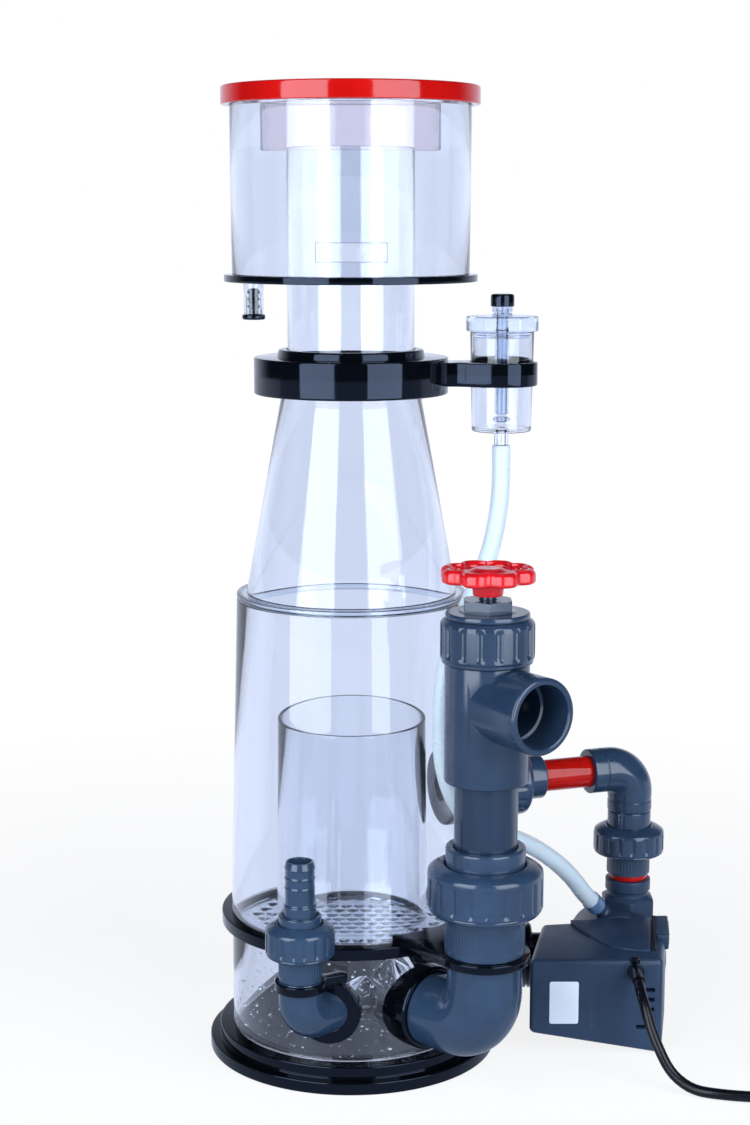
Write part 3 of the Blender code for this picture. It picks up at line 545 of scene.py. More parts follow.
def roundedBlock(low, high, radius, cells=6):
    # A box whose edges are rounded: each point of a cube's skin is pulled to the inner box,
    # then pushed out by radius along what is left.
    low, high = np.array(low, float), np.array(high, float)
    half, middle = (high - low) / 2, (high + low) / 2
    ramp = np.linspace(0, 1, cells)
    t = np.concatenate(
        [
            -1 + 0.3 * (1 - np.cos(ramp * math.pi / 2))[:-1], [-0.7, 0.7],
            (1 - 0.3 * (1 - np.cos(ramp * math.pi / 2)))[::-1][1:]
        ]
    )
    a, b = np.meshgrid(t, t, indexing="ij")
    one = np.ones_like(a)
    sides = ((a, b, one), (a, b, -one), (a, one, b), (a, -one, b), (one, a, b), (-one, a, b))
    skins = np.stack([np.stack(s, -1) for s in sides])
    inner = 0.7
    core = np.clip(skins, -inner, inner)
    rest = skins - core
    rest /= np.linalg.norm(rest, axis=-1)[..., None]
    points = core / inner * (half - radius) + rest * radius + middle
    n = len(t)
    faces = np.concatenate([gridFaces(n, n, False, False) + k * n * n for k in range(6)])
    return points, faces


points, faces = roundedBlock(plugShape["low"], plugShape["high"], plugShape["edge"])
# The grip narrows towards the lead, and two waists run across it.
along = (points[..., 1] - plugShape["low"][1]) / 38.0
narrow = 0.62 + 0.38 * np.clip(along * 1.6, 0, 1) ** 0.7
centre = np.array((359.0, 0.0, 10.0))
points[..., 0] = centre[0] + (points[..., 0] - centre[0]) * narrow
points[..., 2] = centre[2] + (points[..., 2] - centre[2]) * (0.75 + 0.25 * np.clip(along * 2, 0, 1))
leadPlug = makePiece(
    "leadPlug", points, faces, cableVinyl, "skimmer_body", ["power_plug"]
)
for name, x in (("plugPinLeft", 352.0), ("plugPinRight", 366.0)):
    points, faces = roundedBlock((x - 2, 33.0, 8.0), (x + 2, 50.0, 12.0), 1.4, 4)
    makePiece(name, points, faces, ceramic, "skimmer_body")

hose = {"radius": 6.0, "bore": 4.0}
hoseRoute = [
    (97.0, 0.0, 403.6), (97.2, -0.5, 390.0), (96.6, -4.0, 374.0), (94.2, -11.0, 357.0),
    (90.0, -20.0, 340.0), (83.0, -31.0, 323.0), (75.0, -42.0, 307.0), (66.5, -54.0, 290.0),
    (60.5, -62.0, 272.0), (57.8, -65.0, 252.0), (57.5, -66.0, 230.0), (59.0, -67.0, 208.0),
    (64.0, -66.0, 190.0), (73.0, -60.5, 174.0), (85.0, -46.0, 160.5), (97.0, -28.0, 150.5),
    (110.0, -10.0, 142.0), (124.0, 5.0, 131.0), (138.6, 17.0, 117.5), (151.0, 28.0, 102.5),
    (160.0, 36.0, 89.0), (165.8, 41.4, 81.9), (169.4, 45.2, 77.4)
]
hosePath = smoothPath(hoseRoute, 3.0)
points = tubePoints(hosePath, hose["radius"], hose["bore"], 28, (0.8, -0.6, 0.0))
airHose = makePiece(
    "airHose", points, gridFaces(points.shape[0], 28, True, True), silicone, "skimmer_body",
    ["air_hose"]
)
print("cords laid")

# ---- floor
floorSize = 6000.0
points = turnedPoints(
    [(0, -0.3), (floorSize, -0.3), (floorSize, -40.0), (0, -40.0)], (0, 0, 0), up, 64, 0, None,
    None, 2
)
# White card: it glows like the wall behind the stand, dims towards the viewer and is burnt out
# in the exposure. The glow is painted light: the card shines like a lamp on the pieces'
# undersides and shows in their reflections.
floorMaterial = newMaterial("whiteCard", "#F4F5F8", 0.7, 1.45)
addRelief(floorMaterial, 2.0, 0.01)
tree = floorMaterial.node_tree
cardShader = tree.nodes["Principled BSDF"]
spot = addNode(tree, "ShaderNodeTexCoord")
parts = addNode(tree, "ShaderNodeSeparateXYZ", None, {0: spot.outputs["Object"]})
shade = addNode(
    tree, "ShaderNodeMapRange", {"interpolation_type": "SMOOTHSTEP"},
    {"Value": parts.outputs["Y"], "From Min": -0.1, "From Max": 0.2}
)
tone = addNode(
    tree, "ShaderNodeMix", {"data_type": "RGBA"},
    {0: shade.outputs[0], 6: linear(room["card"]), 7: linear(room["white"])}
)
# Painted light: the card's glow, which every ray but the camera's sees, lighting the pieces.
glow = addNode(
    tree, "ShaderNodeEmission", None, {"Color": tone.outputs[2], "Strength": room["strength"]}
)
burnt = addNode(
    tree, "ShaderNodeEmission", None, {"Color": linear(room["plain"]), "Strength": 1.05}
)
seen = addNode(tree, "ShaderNodeLightPath")
lit = addNode(
    tree, "ShaderNodeMixShader", None, {0: 0.9, 1: cardShader.outputs[0], 2: glow.outputs[0]}
)
reach = addNode(tree, "ShaderNodeVectorMath", {"operation": "LENGTH"}, {0: spot.outputs["Object"]})
far = addNode(
    tree, "ShaderNodeMapRange", None,
    {
        "Value": reach.outputs["Value"], "From Min": 0.3, "From Max": 1.2, "To Min": 0.8,
        "To Max": 1.0
    }
)
direct = addNode(
    tree, "ShaderNodeMixShader", None,
    {0: far.outputs[0], 1: cardShader.outputs[0], 2: burnt.outputs[0]}
)
both = addNode(
    tree, "ShaderNodeMixShader", None,
    {0: seen.outputs["Is Camera Ray"], 1: lit.outputs[0], 2: direct.outputs[0]}
)
tree.links.new(both.outputs[0], tree.nodes["Material Output"].inputs["Surface"])
floor = makePiece("floor", points, gridFaces(points.shape[0], 64, True, True), floorMaterial, None)

# ---- base and lower chamber
basePlate = {"radius": 95.5, "stepRadius": 89.0, "stepHeight": 8.0, "top": 16.0, "edge": 0.9}
turned(
    "basePlate",
    [
        (0, basePlate["top"]), (basePlate["stepRadius"], basePlate["top"]),
        (basePlate["stepRadius"], basePlate["stepHeight"], 0.4),
        (basePlate["radius"], basePlate["stepHeight"]), (basePlate["radius"], 0), (0, 0)
    ],
    blackAcrylic, replaced=["base_plate"], steps=192, soft=basePlate["edge"]
)

chamber = {"radius": 80.0, "wall": 4.0, "low": 16.1, "high": 85.9}
inlet = {
    "at": (-31.3, -98.7), "leg": 48.8, "port": 259.8, "height": 51.0, "pipe": 13.7, "bore": 9.8,
    "bend": 15.0, "stub": 11.0
}
outlet = {
    "at": (83.5, -106.0), "leg": 132.9, "height": 49.5, "pipe": 23.6, "bore": 19.8, "bend": 26.0,
    "ring": 27.0, "stub": 18.6
}
discharge = {"at": (185.0, 62.0, 36.0), "pipe": 15.5, "bore": 11.8}
inletLegAt = (*inlet["at"], inlet["height"])
outletLegAt = (*outlet["at"], outlet["height"])
chamberTube = turned(
    "chamberTube",
    tubeProfile(
        chamber["radius"] - chamber["wall"], chamber["radius"], chamber["low"], chamber["high"]
    ),
    clearAcrylic, replaced=["lower_chamber_tube"], steps=192, soft=0.3
)
carve(
    chamberTube,
    [
        drill(inlet["stub"] + 0.1, 10, 45, inletLegAt, level(inlet["leg"])),
        drill(outlet["stub"] + 0.1, 25, 70, outletLegAt, level(outlet["leg"])),
        drill(discharge["bore"], 90, 170, discharge["at"], (-1, 0, 0))
    ]
)


def portStub(name, legAt, leg, outer, inner, near, far):
    # A short clear tube through the chamber wall, its inner end open.
    turned(
        name, tubeProfile(inner, outer, near, far), clearAcrylic, at=legAt,
        along=level(leg), steps=72, soft=0.6
    )


portStub("inletStub", inletLegAt, inlet["leg"], inlet["stub"], 8.2, 41.0, 62.0)
portStub("outletStub", outletLegAt, outlet["leg"], outlet["stub"], 15.8, 62.0, 88.0)

flange = {"outer": 87.0, "bore": 72.6, "low": 86.0, "high": 94.0, "edge": 0.9}
turned(
    "flangeRing", tubeProfile(flange["bore"], flange["outer"], flange["low"], flange["high"]),
    blackAcrylic, replaced=["mid_flange_ring"], steps=192, soft=flange["edge"]
)

# ---- bubble plate: a sheet of staggered shallow dimples, each in its own cell
bubblePlate = {
    "radius": 72.2, "low": 88.0, "high": 92.0, "across": 8.8, "row": 12.4, "dimple": 2.7,
    "sink": 0.7, "rim": 66.0
}


def bubbleSheet():
    # Cell edges and dimples share twelve directions: each cell is a square ring, three dimple
    # rings and a flat underside.
    wide, deep, r = bubblePlate["across"], bubblePlate["row"], bubblePlate["dimple"]
    rows = np.arange(-7, 8)
    columns = np.arange(-10, 11)
    cx, cy = np.meshgrid(columns * wide, rows * deep)
    cx = cx + (rows % 2)[:, None] * wide / 2
    centres = np.stack([cx.ravel(), cy.ravel()], axis=1)
    side = np.array(
        [
            (1, 0), (1, 1), (0.5, 1), (0, 1), (-0.5, 1), (-1, 1), (-1, 0), (-1, -1), (-0.5, -1),
            (0, -1), (0.5, -1), (1, -1)
        ],
        float
    )
    square = side * (wide / 2, deep / 2)
    angle = np.arctan2(square[:, 1], square[:, 0])
    circle = r * np.stack([np.cos(angle), np.sin(angle)], axis=1)
    away = np.linalg.norm(centres, axis=1)
    solid = (away > bubblePlate["rim"]) | ((away > 44.0) & (away < 52.0))
    sunk = np.where(solid, 0.0, bubblePlate["sink"])
    rings = []
    for ring, grow, share in (
        (square, 1, 0), (circle, 1.3, 0), (circle, 1.1, 0.25), (circle, 0.75, 0.8),
        (circle, 0.0, 1.0)
    ):
        height = bubblePlate["high"] - share * sunk
        xy = centres[:, None] + ring[None] * grow
        rings.append(
            np.concatenate(
                [xy, np.broadcast_to(height[:, None, None], (len(centres), 12, 1))], axis=2
            )
        )
    for ring, grow in ((circle, 0.0), (square, 1)):
        xy = centres[:, None] + ring[None] * grow
        rings.append(
            np.concatenate([xy, np.full((len(centres), 12, 1), bubblePlate["low"])], axis=2)
        )
    points = np.stack(rings, axis=1)
    cell = np.concatenate([gridFaces(5, 12, False, True), gridFaces(2, 12, False, True) + 60])
    faces = (cell[None] + 84 * np.arange(len(centres))[:, None, None]).reshape(-1, 4)
    return points.reshape(-1, 3), faces


points, faces = bubbleSheet()
sheet = makePiece(
    "bubblePlate", points, faces, clearAcrylicEdge, "skimmer_body", ["bubble_plate"],
)
bm = bmesh.new()
bm.from_mesh(sheet.data)
edges = [e for e in bm.edges if len(e.link_faces) == 1]
bmesh.ops.bridge_loops(bm, edges=edges)
bmesh.ops.recalc_face_normals(bm, faces=bm.faces)
bm.to_mesh(sheet.data)
bm.free()
carve(sheet, [drill(bubblePlate["radius"], 80, 100, (0, 0, 0), up, 160)], "INTERSECT")

# ---- reaction body, inner tube, shoulder and cone
body = {"low": 94.1, "top": 304.3, "rLow": 80.5, "rTop": 75.0, "wall": 3.5}
bodyTube = turned(
    "bodyTube",
    [
        (body["rTop"] - body["wall"], body["top"]), (body["rTop"], body["top"]),
        (body["rLow"], body["low"]), (body["rLow"] - body["wall"], body["low"])
    ],
    clearAcrylic, replaced=["reaction_tube"], steps=192, soft=0.4
)
returnLine = {"azimuth": 20.0, "height": 170.0}
returnWay = level(returnLine["azimuth"])
returnAt = (0, 0, returnLine["height"])
carve(bodyTube, [drill(11.3, 50, 100, returnAt, returnWay)])
turned(
    "innerTube", tubeProfile(46.7, 49.2, 92.1, 222.0), clearAcrylic, replaced=["inner_tube"],
    steps=160, soft=0.5
)
turned(
    "shoulderRing", tubeProfile(64.5, 75.0, 304.4, 308.1), clearAcrylicEdge,
    replaced=["shoulder_ring"], steps=192, soft=0.8
)
cone = {"low": 308.2, "high": 437.3, "rLow": 68.5, "rTop": 44.8, "wall": 3.0}
turned(
    "cone",
    [
        (cone["rTop"] - cone["wall"], cone["high"]), (cone["rTop"], cone["high"]),
        (cone["rLow"], cone["low"]), (cone["rLow"] - cone["wall"], cone["low"])
    ],
    clearAcrylic, replaced=["cone"], steps=192, soft=0.4
)

# ---- neck collar, its seal and the silencer bracket
collar = {"radius": 62.5, "bore": 41.6, "low": 437.5, "high": 461.0, "neck": 47.0, "top": 466.0}
turned(
    "neckCollar",
    [
        (collar["bore"], collar["top"]), (collar["neck"] - 0.4, collar["top"], 1.6),
        (collar["neck"] + 0.6, collar["high"], 0.3), (collar["radius"], collar["high"], 1.4),
        (collar["radius"], collar["low"], 1.4), (collar["bore"], collar["low"]),
        (collar["bore"], 449.7, 0.2), (collar["bore"] + 2.6, 449.7, 0.2),
        (collar["bore"] + 2.6, 453.3, 0.2), (collar["bore"], 453.3, 0.2)
    ],
    blackAcrylic, replaced=["neck_collar"], steps=168, soft=0.5
)
turned(
    "neckSeal", roundProfile(42.4, 451.5, 1.5), blackRubber, body="o_ring",
    replaced=["neck_o_ring"], soft=0.0
)

silencer = {
    "at": (97.0, 0.0), "jar": 20.6, "low": 413.0, "high": 477.0, "lid": 23.2, "tube": 6.5,
    "tubeTop": 497.0
}
bracket = {"low": 442.5, "high": 457.7, "reach": 23.0, "half": 13.0, "edge": 0.9}


def plateLayers(outline, low, high, edge, steps=4):
    # A flat outline carried up: both ends pull in along the outline's own normals as quarter
    # circles of radius edge.
    p = np.array(outline, float)
    ahead = np.roll(p, -1, axis=0) - np.roll(p, 1, axis=0)
    normal = np.stack([ahead[:, 1], -ahead[:, 0]], axis=1)
    normal /= np.linalg.norm(normal, axis=1)[:, None]
    t = np.linspace(0, math.pi / 2, steps)
    pull = np.concatenate([edge * (1 - np.sin(t)), edge * (1 - np.cos(t))])
    height = np.concatenate([low + edge * (1 - np.cos(t)), high - edge * (1 - np.sin(t))])
    layers = p[None] - normal[None] * pull[:, None, None]
    z = np.broadcast_to(height[:, None, None], (len(height), len(p), 1))
    return np.concatenate([layers, z], axis=2)


def layerFaces(rows, columns):
    # The layers' walls, and one many-sided face on each end.
    faces = gridFaces(rows, columns, False, True).tolist()
    faces.append(list(range(columns))[::-1])
    faces.append([(rows - 1) * columns + k for k in range(columns)])
    return faces


def plate(name, outline, low, high, edge, material, replaced=()):
    layers = plateLayers(outline, low, high, edge)
    faces = layerFaces(*layers.shape[:2])
    return makePiece(
        name, layers, faces, material, "skimmer_body", replaced, 32.0
    )


sx, sy = silencer["at"]
turn = np.radians(np.linspace(-90, 90, 33))
arm = np.stack([sx + bracket["reach"] * np.cos(turn), sy + bracket["reach"] * np.sin(turn)], axis=1)
arm = np.concatenate(
    [
        arm,
        [
            (sx - 12, bracket["reach"] - 1.2), (sx - 24, bracket["half"] + 2.0),
            (sx - 30, bracket["half"]), (50, bracket["half"]), (50, -bracket["half"]),
            (sx - 30, -bracket["half"]), (sx - 24, -bracket["half"] - 2.0),
            (sx - 12, -bracket["reach"] + 1.2)
        ]
    ]
)
holder = plate(
    "silencerBracket", arm, bracket["low"], bracket["high"], bracket["edge"], blackAcrylic,
    ["silencer_bracket"]
)
carve(
    holder,
    [
        drill(collar["radius"] + 0.05, 430, 470, (0, 0, 0), up, 168),
        drill(silencer["jar"] + 0.3, 430, 470, (sx, sy, 0), up, 96)
    ]
)

# ---- silencer jar, lid, air tube and cap
turned(
    "silencerJar",
    [
        (silencer["jar"] - 2, silencer["high"]), (silencer["jar"], silencer["high"]),
        (silencer["jar"] - 1.4, silencer["low"], 1.6), (4.6, silencer["low"], 0.8),
        (4.6, silencer["low"] - 9), (2.4, silencer["low"] - 9), (2.4, silencer["low"] + 2.4),
        (silencer["jar"] - 3.4, silencer["low"] + 2.4, 1.2)
    ],
    clearAcrylic, replaced=["silencer_jar"], at=(sx, sy, 0), soft=0.5
)
turned(
    "jarLid",
    [
        (silencer["tube"] - 3.5, silencer["tubeTop"]), (silencer["tube"], silencer["tubeTop"], 1.0),
        (silencer["tube"], silencer["high"] + 10, 1.0),
        (silencer["lid"], silencer["high"] + 10, 1.4),
        (silencer["lid"], silencer["high"] + 0.4, 0.8),
        (silencer["jar"] - 2.4, silencer["high"] + 0.4, 0.2),
        (silencer["jar"] - 2.4, silencer["high"] - 4), (4.6, silencer["high"] - 4, 1.0),
        (4.6, silencer["low"] + 11, 1.5), (silencer["tube"] - 3.5, silencer["low"] + 11)
    ],
    clearAcrylicEdge, body="silencer_lid", replaced=["jar_lid"],
    at=(sx, sy, 0), soft=0.5
)
turned(
    "silencerBall", roundProfile(4.2, silencer["low"] + 7.5, 1.6), clearAcrylicEdge,
    at=(sx, sy, 0), steps=48, soft=0.0
)
airCap = {"radius": 7.6, "top": 501.0, "low": 493.0}
turned(
    "airCap",
    [
        (0, airCap["top"]), (airCap["radius"], airCap["top"], 2.0),
        (airCap["radius"], airCap["low"], 0.5), (silencer["tube"] + 0.2, airCap["low"], 0.2),
        (silencer["tube"] + 0.2, silencer["tubeTop"] + 0.2, 0.3), (0, silencer["tubeTop"] + 0.2)
    ],
    glossBlack, body="air_cap", replaced=["air_cap"], at=(sx, sy, 0), soft=0.8
)
print("body, collar and silencer made")

# ---- collection cup
cup = {
    "plate": 81.0, "plateLow": 509.0, "plateHigh": 513.5, "wall": 3.0, "rTop": 76.5, "rLow": 75.9,
    "high": 620.6, "low": 513.6
}
riser = {"radius": 40.7, "wall": 2.5, "low": 440.0, "high": 592.0}
drain = {"at": (-61.0, -22.0, 0.0), "radius": 6.2}
cupPlate = turned(
    "cupPlate", tubeProfile(riser["radius"] + 0.1, cup["plate"], cup["plateLow"], cup["plateHigh"]),
    blackAcrylic, body="cup", replaced=["cup_base_plate"], steps=192, soft=0.7
)
carve(cupPlate, [drill(4.4, 500, 520, drain["at"], up, 32)])
turned(
    "cupWall",
    [
        (cup["rTop"] - cup["wall"], cup["high"]), (cup["rTop"], cup["high"]),
        (cup["rLow"], cup["low"]), (cup["rLow"] - cup["wall"], cup["low"])
    ],
    clearAcrylic, body="cup", replaced=["cup_wall"], steps=192, soft=0.3
)
turned(
    "riserTube",
    tubeProfile(riser["radius"] - riser["wall"], riser["radius"], riser["low"], riser["high"]),
    clearAcrylic, body="cup", replaced=["riser_tube"], steps=160, soft=0.8
)
turned(
    "drainNipple", tubeProfile(4.4, drain["radius"], 489.0, cup["plateLow"] - 0.1), clearAcrylic,
    body="cup", replaced=["drain_nipple"], at=drain["at"], steps=48
)
turned(
    "drainPlug",
    [
        (0, 505), (3.0, 505, 1.4), (4.2, 502.4, 0.4), (3.1, 501.4, 0.3), (3.1, 499.4, 0.3),
        (4.2, 498.4, 0.4), (3.1, 497.4, 0.3), (3.1, 495.2, 0.3), (4.2, 494.2, 0.4),
        (3.1, 493.0, 0.3), (3.1, 488.8, 0.2), (7.3, 488.8, 0.7), (7.3, 485.7, 1.2), (0, 485.7)
    ],
    glossBlack, body="drain_plug", replaced=["drain_plug"], at=drain["at"],
    steps=48
)
cupLabel = {
    "radius": 75.93, "middle": 528.4, "high": 11.8, "wide": 44.2, "turn": 0.9, "thick": 0.12,
    "rim": 0.35
}


def onCup(x, z, out):
    # A flat place x along and z up wraps on the cup's front: the angle is x / radius.
    angle = math.radians(-90.0 + cupLabel["turn"]) + x / cupLabel["radius"]
    return np.stack([out * np.cos(angle), out * np.sin(angle), cupLabel["middle"] + z], axis=-1)


w, h = cupLabel["wide"] / 2, cupLabel["high"] / 2
t = np.linspace(-1, 1, 41)
one = np.ones(41)
loop = np.concatenate(
    [np.stack(p, axis=1)[:-1] for p in ((t, -one), (one, t), (-t, one), (-one, -t))]
)
inner = loop * ((w - cupLabel["rim"]) / w, (h - cupLabel["rim"]) / h)
low, high = cupLabel["radius"], cupLabel["radius"] + cupLabel["thick"]
frames = ((loop, high), (inner, high), (inner, low), (loop, low))
points = np.stack([onCup(p[:, 0] * w, p[:, 1] * h, out) for p, out in frames])
makePiece("cupLabelRim", points, gridFaces(4, len(loop), True, True), labelRim, "cup", sharp=40.0)
x = t[:, None] * (w - cupLabel["rim"] - 0.02)
z = np.array([-1, 1, 1, -1]) * (h - cupLabel["rim"] - 0.02)
points = onCup(x + 0 * z, z + 0 * x, np.array([high, high, low, low]) - 0.02 + 0 * x)
faces = gridFaces(41, 4, False, True).tolist() + [[3, 2, 1, 0], [160, 161, 162, 163]]
makePiece("cupLabel", points, faces, labelClear, "cup", sharp=40.0)

# ---- lid and the clear sleeve under it
lid = {"radius": 82.0, "low": 619.0, "under": 621.0, "top": 630.5, "lip": 1.6}
turned(
    "cupLid",
    [
        (0, lid["top"]), (lid["radius"], lid["top"], lid["lip"]), (lid["radius"], lid["low"], 0.8),
        (cup["rTop"] + 0.3, lid["low"], 0.3), (cup["rTop"] + 0.3, lid["under"], 0.2),
        (0, lid["under"])
    ],
    redAcrylic, body="cup_lid", replaced=["lid"], steps=192, soft=0.6
)
sleeve = {"radius": 57.0, "low": 589.0, "disc": 73.1}
turned(
    "lidSleeve",
    [
        (0, lid["under"] - 0.2), (sleeve["disc"], lid["under"] - 0.2),
        (sleeve["disc"], lid["under"] - 3.5), (sleeve["radius"], lid["under"] - 3.5, 0.3),
        (sleeve["radius"], sleeve["low"]), (sleeve["radius"] - 2.5, sleeve["low"]),
        (sleeve["radius"] - 2.5, lid["under"] - 3.5, 0.3), (0, lid["under"] - 3.5)
    ],
    sleeveAcrylic, body="cup_lid", replaced=["lid_sleeve"], steps=160,
    soft=0.5
)
print("cup and lid made")

# ---- shared shapes of the grey fittings


def grooved(ribs, depth, low, high, reach, share=0.16):
    # Narrow grooves part wide low ribs: near each groove's middle r drops by depth, fading out
    # towards low and high, on the outer wall only.
    def reshape(r, h, angle):
        period = 2 * math.pi / ribs
        off = np.abs((angle + period / 2) % period - period / 2) / (period * share)
        groove = np.clip(1 - off**2, 0, 1) ** 0.5
        fade = np.clip(np.minimum(h - low, high - h) / 1.6, 0, 1)
        return np.where(r > reach, r - depth * groove * fade, r), h

    return reshape


def unionNut(name, replaced, body, at, along, r, bore, low, high, ribs, material):
    # A union nut: sloping shoulder, rounded shoulder edge, ribbed grip and a lip that turns in.
    lip = 0.14 * (high - low)
    grip = (low + lip + 0.8, high - 0.22 * (high - low))
    turned(
        name,
        [
            (bore + 0.1, high - 0.3, 0.5), (bore + 1.4, high, 0.6), (r - 4.2, high - 1.1, 1.2),
            (r - 0.3, high - 3.4, 2.6), (r, high - 6.5, 0.8), (r, low + lip, 0.3),
            (r - 0.9, low + lip - 0.5, 0.3), (r - 0.5, low + lip - 1.4, 0.4), (r - 2.6, low, 1.6),
            (bore + 0.1, low, 0.5)
        ],
        material, body=body, replaced=[replaced], at=at, along=along,
        steps=ribs * 14, soft=0.5, fine=1.1, reshape=grooved(ribs, 0.85, grip[0], grip[1], r - 0.4),
        sharp=38.0
    )


def ribbedEnd(
    name, replaced, at, along, inner, outer, low, high, material, ribBand=None, ribs=60, head=()
):
    # A union end: a smooth or finely ribbed sleeve, with head holding any further outer corners
    # above it.
    reshape = None
    if ribBand:
        period = 2 * math.pi / ribs

        def reshape(r, h, angle):
            wave = 0.5 - 0.5 * np.cos((angle % period) / period * 2 * math.pi)
            fade = np.clip(np.minimum(h - ribBand[0], ribBand[1] - h) / 0.8, 0, 1)
            return np.where(r > outer - 0.3, r - 0.35 * wave * fade, r), h

    profile = [(inner, high, 0.8), *head, (outer, high, 1.0), (outer, low, 0.7), (inner, low)]
    turned(
        name, profile, material, replaced=[replaced], at=at, along=along,
        steps=ribs * 4 if ribBand else 96, soft=0.5, fine=1.2 if ribBand else None, reshape=reshape,
        sharp=40.0
    )


def quarterRoute(start, direction, run, bend, rise):
    # Straight along direction for run, a quarter circle of radius bend up, then straight up to
    # rise.
    start, direction = np.array(start, float), np.array(direction, float)
    t = np.linspace(0, math.pi / 2, 25)
    lift = bend * (1 - np.cos(t))
    arc = start + direction * (run + bend * np.sin(t))[:, None] + np.array(up) * lift[:, None]
    straight = start + direction * np.linspace(0, run, 9)[:-1, None]
    lift = np.array([0.25, 0.5, 0.75, 0.93, 0.98, 1.0]) * (rise - arc[-1][2])
    top = arc[-1] + np.array(up) * lift[:, None]
    return np.concatenate([straight, arc, top])


def ontoChamber(points, direction, radius):
    # Points slide along the level direction until they lie on the upright cylinder of that
    # radius round the axis.
    d = np.array(direction[:2], float)
    p = points[..., :2]
    b = p @ d
    c = (p**2).sum(axis=-1) - radius**2
    slide = -b - np.sqrt(np.maximum(0, b**2 - c))
    moved = points.copy()
    moved[..., :2] = p + slide[..., None] * d
    return moved


def elbowPiece(name, replaced, data, rise, material):
    # The leg starts on the chamber wall, runs out level, and bends up.
    leg = level(data["leg"])
    away = 40.0 if data is inlet else 66.0
    start = np.array((*data["at"], data["height"])) + leg * away
    route = quarterRoute(start, -leg, away - data["bend"], data["bend"], rise)
    outer = np.full(len(route), data["pipe"])
    outer[-1] -= 0.9
    outer[-2] -= 0.3
    side = np.cross(leg, up)
    points = tubePoints(route, outer, data["bore"], 72, side)
    # The leg is straight, so its first rings move on to the wall without changing the bend.
    points[0] = ontoChamber(points[0] - leg * 60, leg, chamber["radius"] + 0.15)
    points[-1] = ontoChamber(points[-1] - leg * 60, leg, chamber["radius"] + 0.15)
    start = points[0].mean(axis=0)
    keep = ((points[: len(route)].mean(axis=1) - start) @ -leg) > 6.0
    keep[0] = True
    rows = np.concatenate([keep, keep[::-1]])
    points = points[rows]
    return makePiece(
        name, points, gridFaces(points.shape[0], 72, True, True), material, "skimmer_body",
        [replaced], 38.0
    )


# ---- inlet
inletWay = level(inlet["leg"])
inletAt = (*inlet["at"], 0.0)
elbowPiece("inletElbow", "inlet_elbow", inlet, 78.9, greyPvc)
padWay = level(inlet["port"])
pad = {"radius": 21.3, "out": 85.2, "edge": 1.4}
points = turnedPoints(
    [
        (0, 70.0), (pad["radius"], 70.0, 0.1), (pad["radius"], pad["out"], pad["edge"]),
        (0, pad["out"])
    ],
    (0, 0, inlet["height"]), padWay, 120, 0.3, 1.5, None
)
outwards = points @ padWay
snap = ontoChamber(points + padWay * 30, -padWay, chamber["radius"] + 0.15)
points = np.where((outwards < 71.0)[..., None], snap, points)
# Points of the skin between face and wall stay outside the wall.
behind = np.linalg.norm(points[..., :2], axis=-1) < chamber["radius"] + 0.15
points = np.where(
    behind[..., None], ontoChamber(points + padWay * 30, -padWay, chamber["radius"] + 0.15), points
)
inletPad = makePiece(
    "inletPad", points, gridFaces(points.shape[0], 120, True, True), blackAcrylic, "skimmer_body",
    ["inlet_port_pad"]
)
carve(inletPad, [drill(inlet["pipe"] + 0.2, 0, 60, inletLegAt, inletWay, 96)])

clip = {"inner": 13.9, "outer": 16.1, "low": 72.4, "high": 78.4, "arm": 27.4}
clipRing = turned(
    "inletClip", tubeProfile(clip["inner"], clip["outer"], clip["low"], clip["high"]), blackAcrylic,
    replaced=["inlet_clip"], at=inletAt, steps=96, soft=0.8
)
armWay = level(clip["arm"])
armSide = np.cross(up, armWay)
armPoints, armFaces = roundedBlock(
    (14.6, -3.6, clip["low"] + 0.1), (31.5, 3.6, clip["high"] - 0.1), 0.9, 4
)
x, y, z = armPoints[..., :1], armPoints[..., 1:2], armPoints[..., 2:]
armPoints = np.array(inletAt) + x * armWay + y * armSide + z * np.array(up)
carve(clipRing, [makePiece("clipArm", armPoints, armFaces, blackAcrylic, None)], "UNION")
carve(clipRing, [drill(chamber["radius"] + 0.1, 0, 84, (0, 0, 0), up, 192)])
ribbedEnd(
    "inletUnionEnd", "inlet_union_end", inletAt, up, inlet["bore"], 13.7, 79.0, 101.4, greyPvc,
    (80.5, 93.5), 44
)
unionNut(
    "inletNut", "inlet_union_nut", "inlet_nut", inletAt, up, 21.9, 14.0, 94.3, 116.0, 18, greyPvc
)
turned(
    "inletHoseTail",
    [
        (7.2, 155.7, 0.6), (8.6, 155.7, 0.5), (9.7, 151.4, 0.4), (9.2, 150.9, 0.2),
        (9.2, 146.4, 0.2), (9.8, 145.4, 0.4), (9.2, 145.0, 0.2), (9.2, 140.0, 0.2),
        (9.8, 139.0, 0.4), (9.3, 138.6, 0.2), (9.3, 128.5, 0.8), (10.3, 127.6, 0.6),
        (10.3, 120.4, 0.5), (11.2, 119.7, 0.3), (11.6, 121.0, 0.5), (13.4, 121.0, 0.9),
        (13.4, 101.6, 0.4), (7.2, 101.6, 0.4)
    ],
    greyPvc, replaced=["inlet_hose_tail"], at=inletAt, steps=96, soft=0.4
)

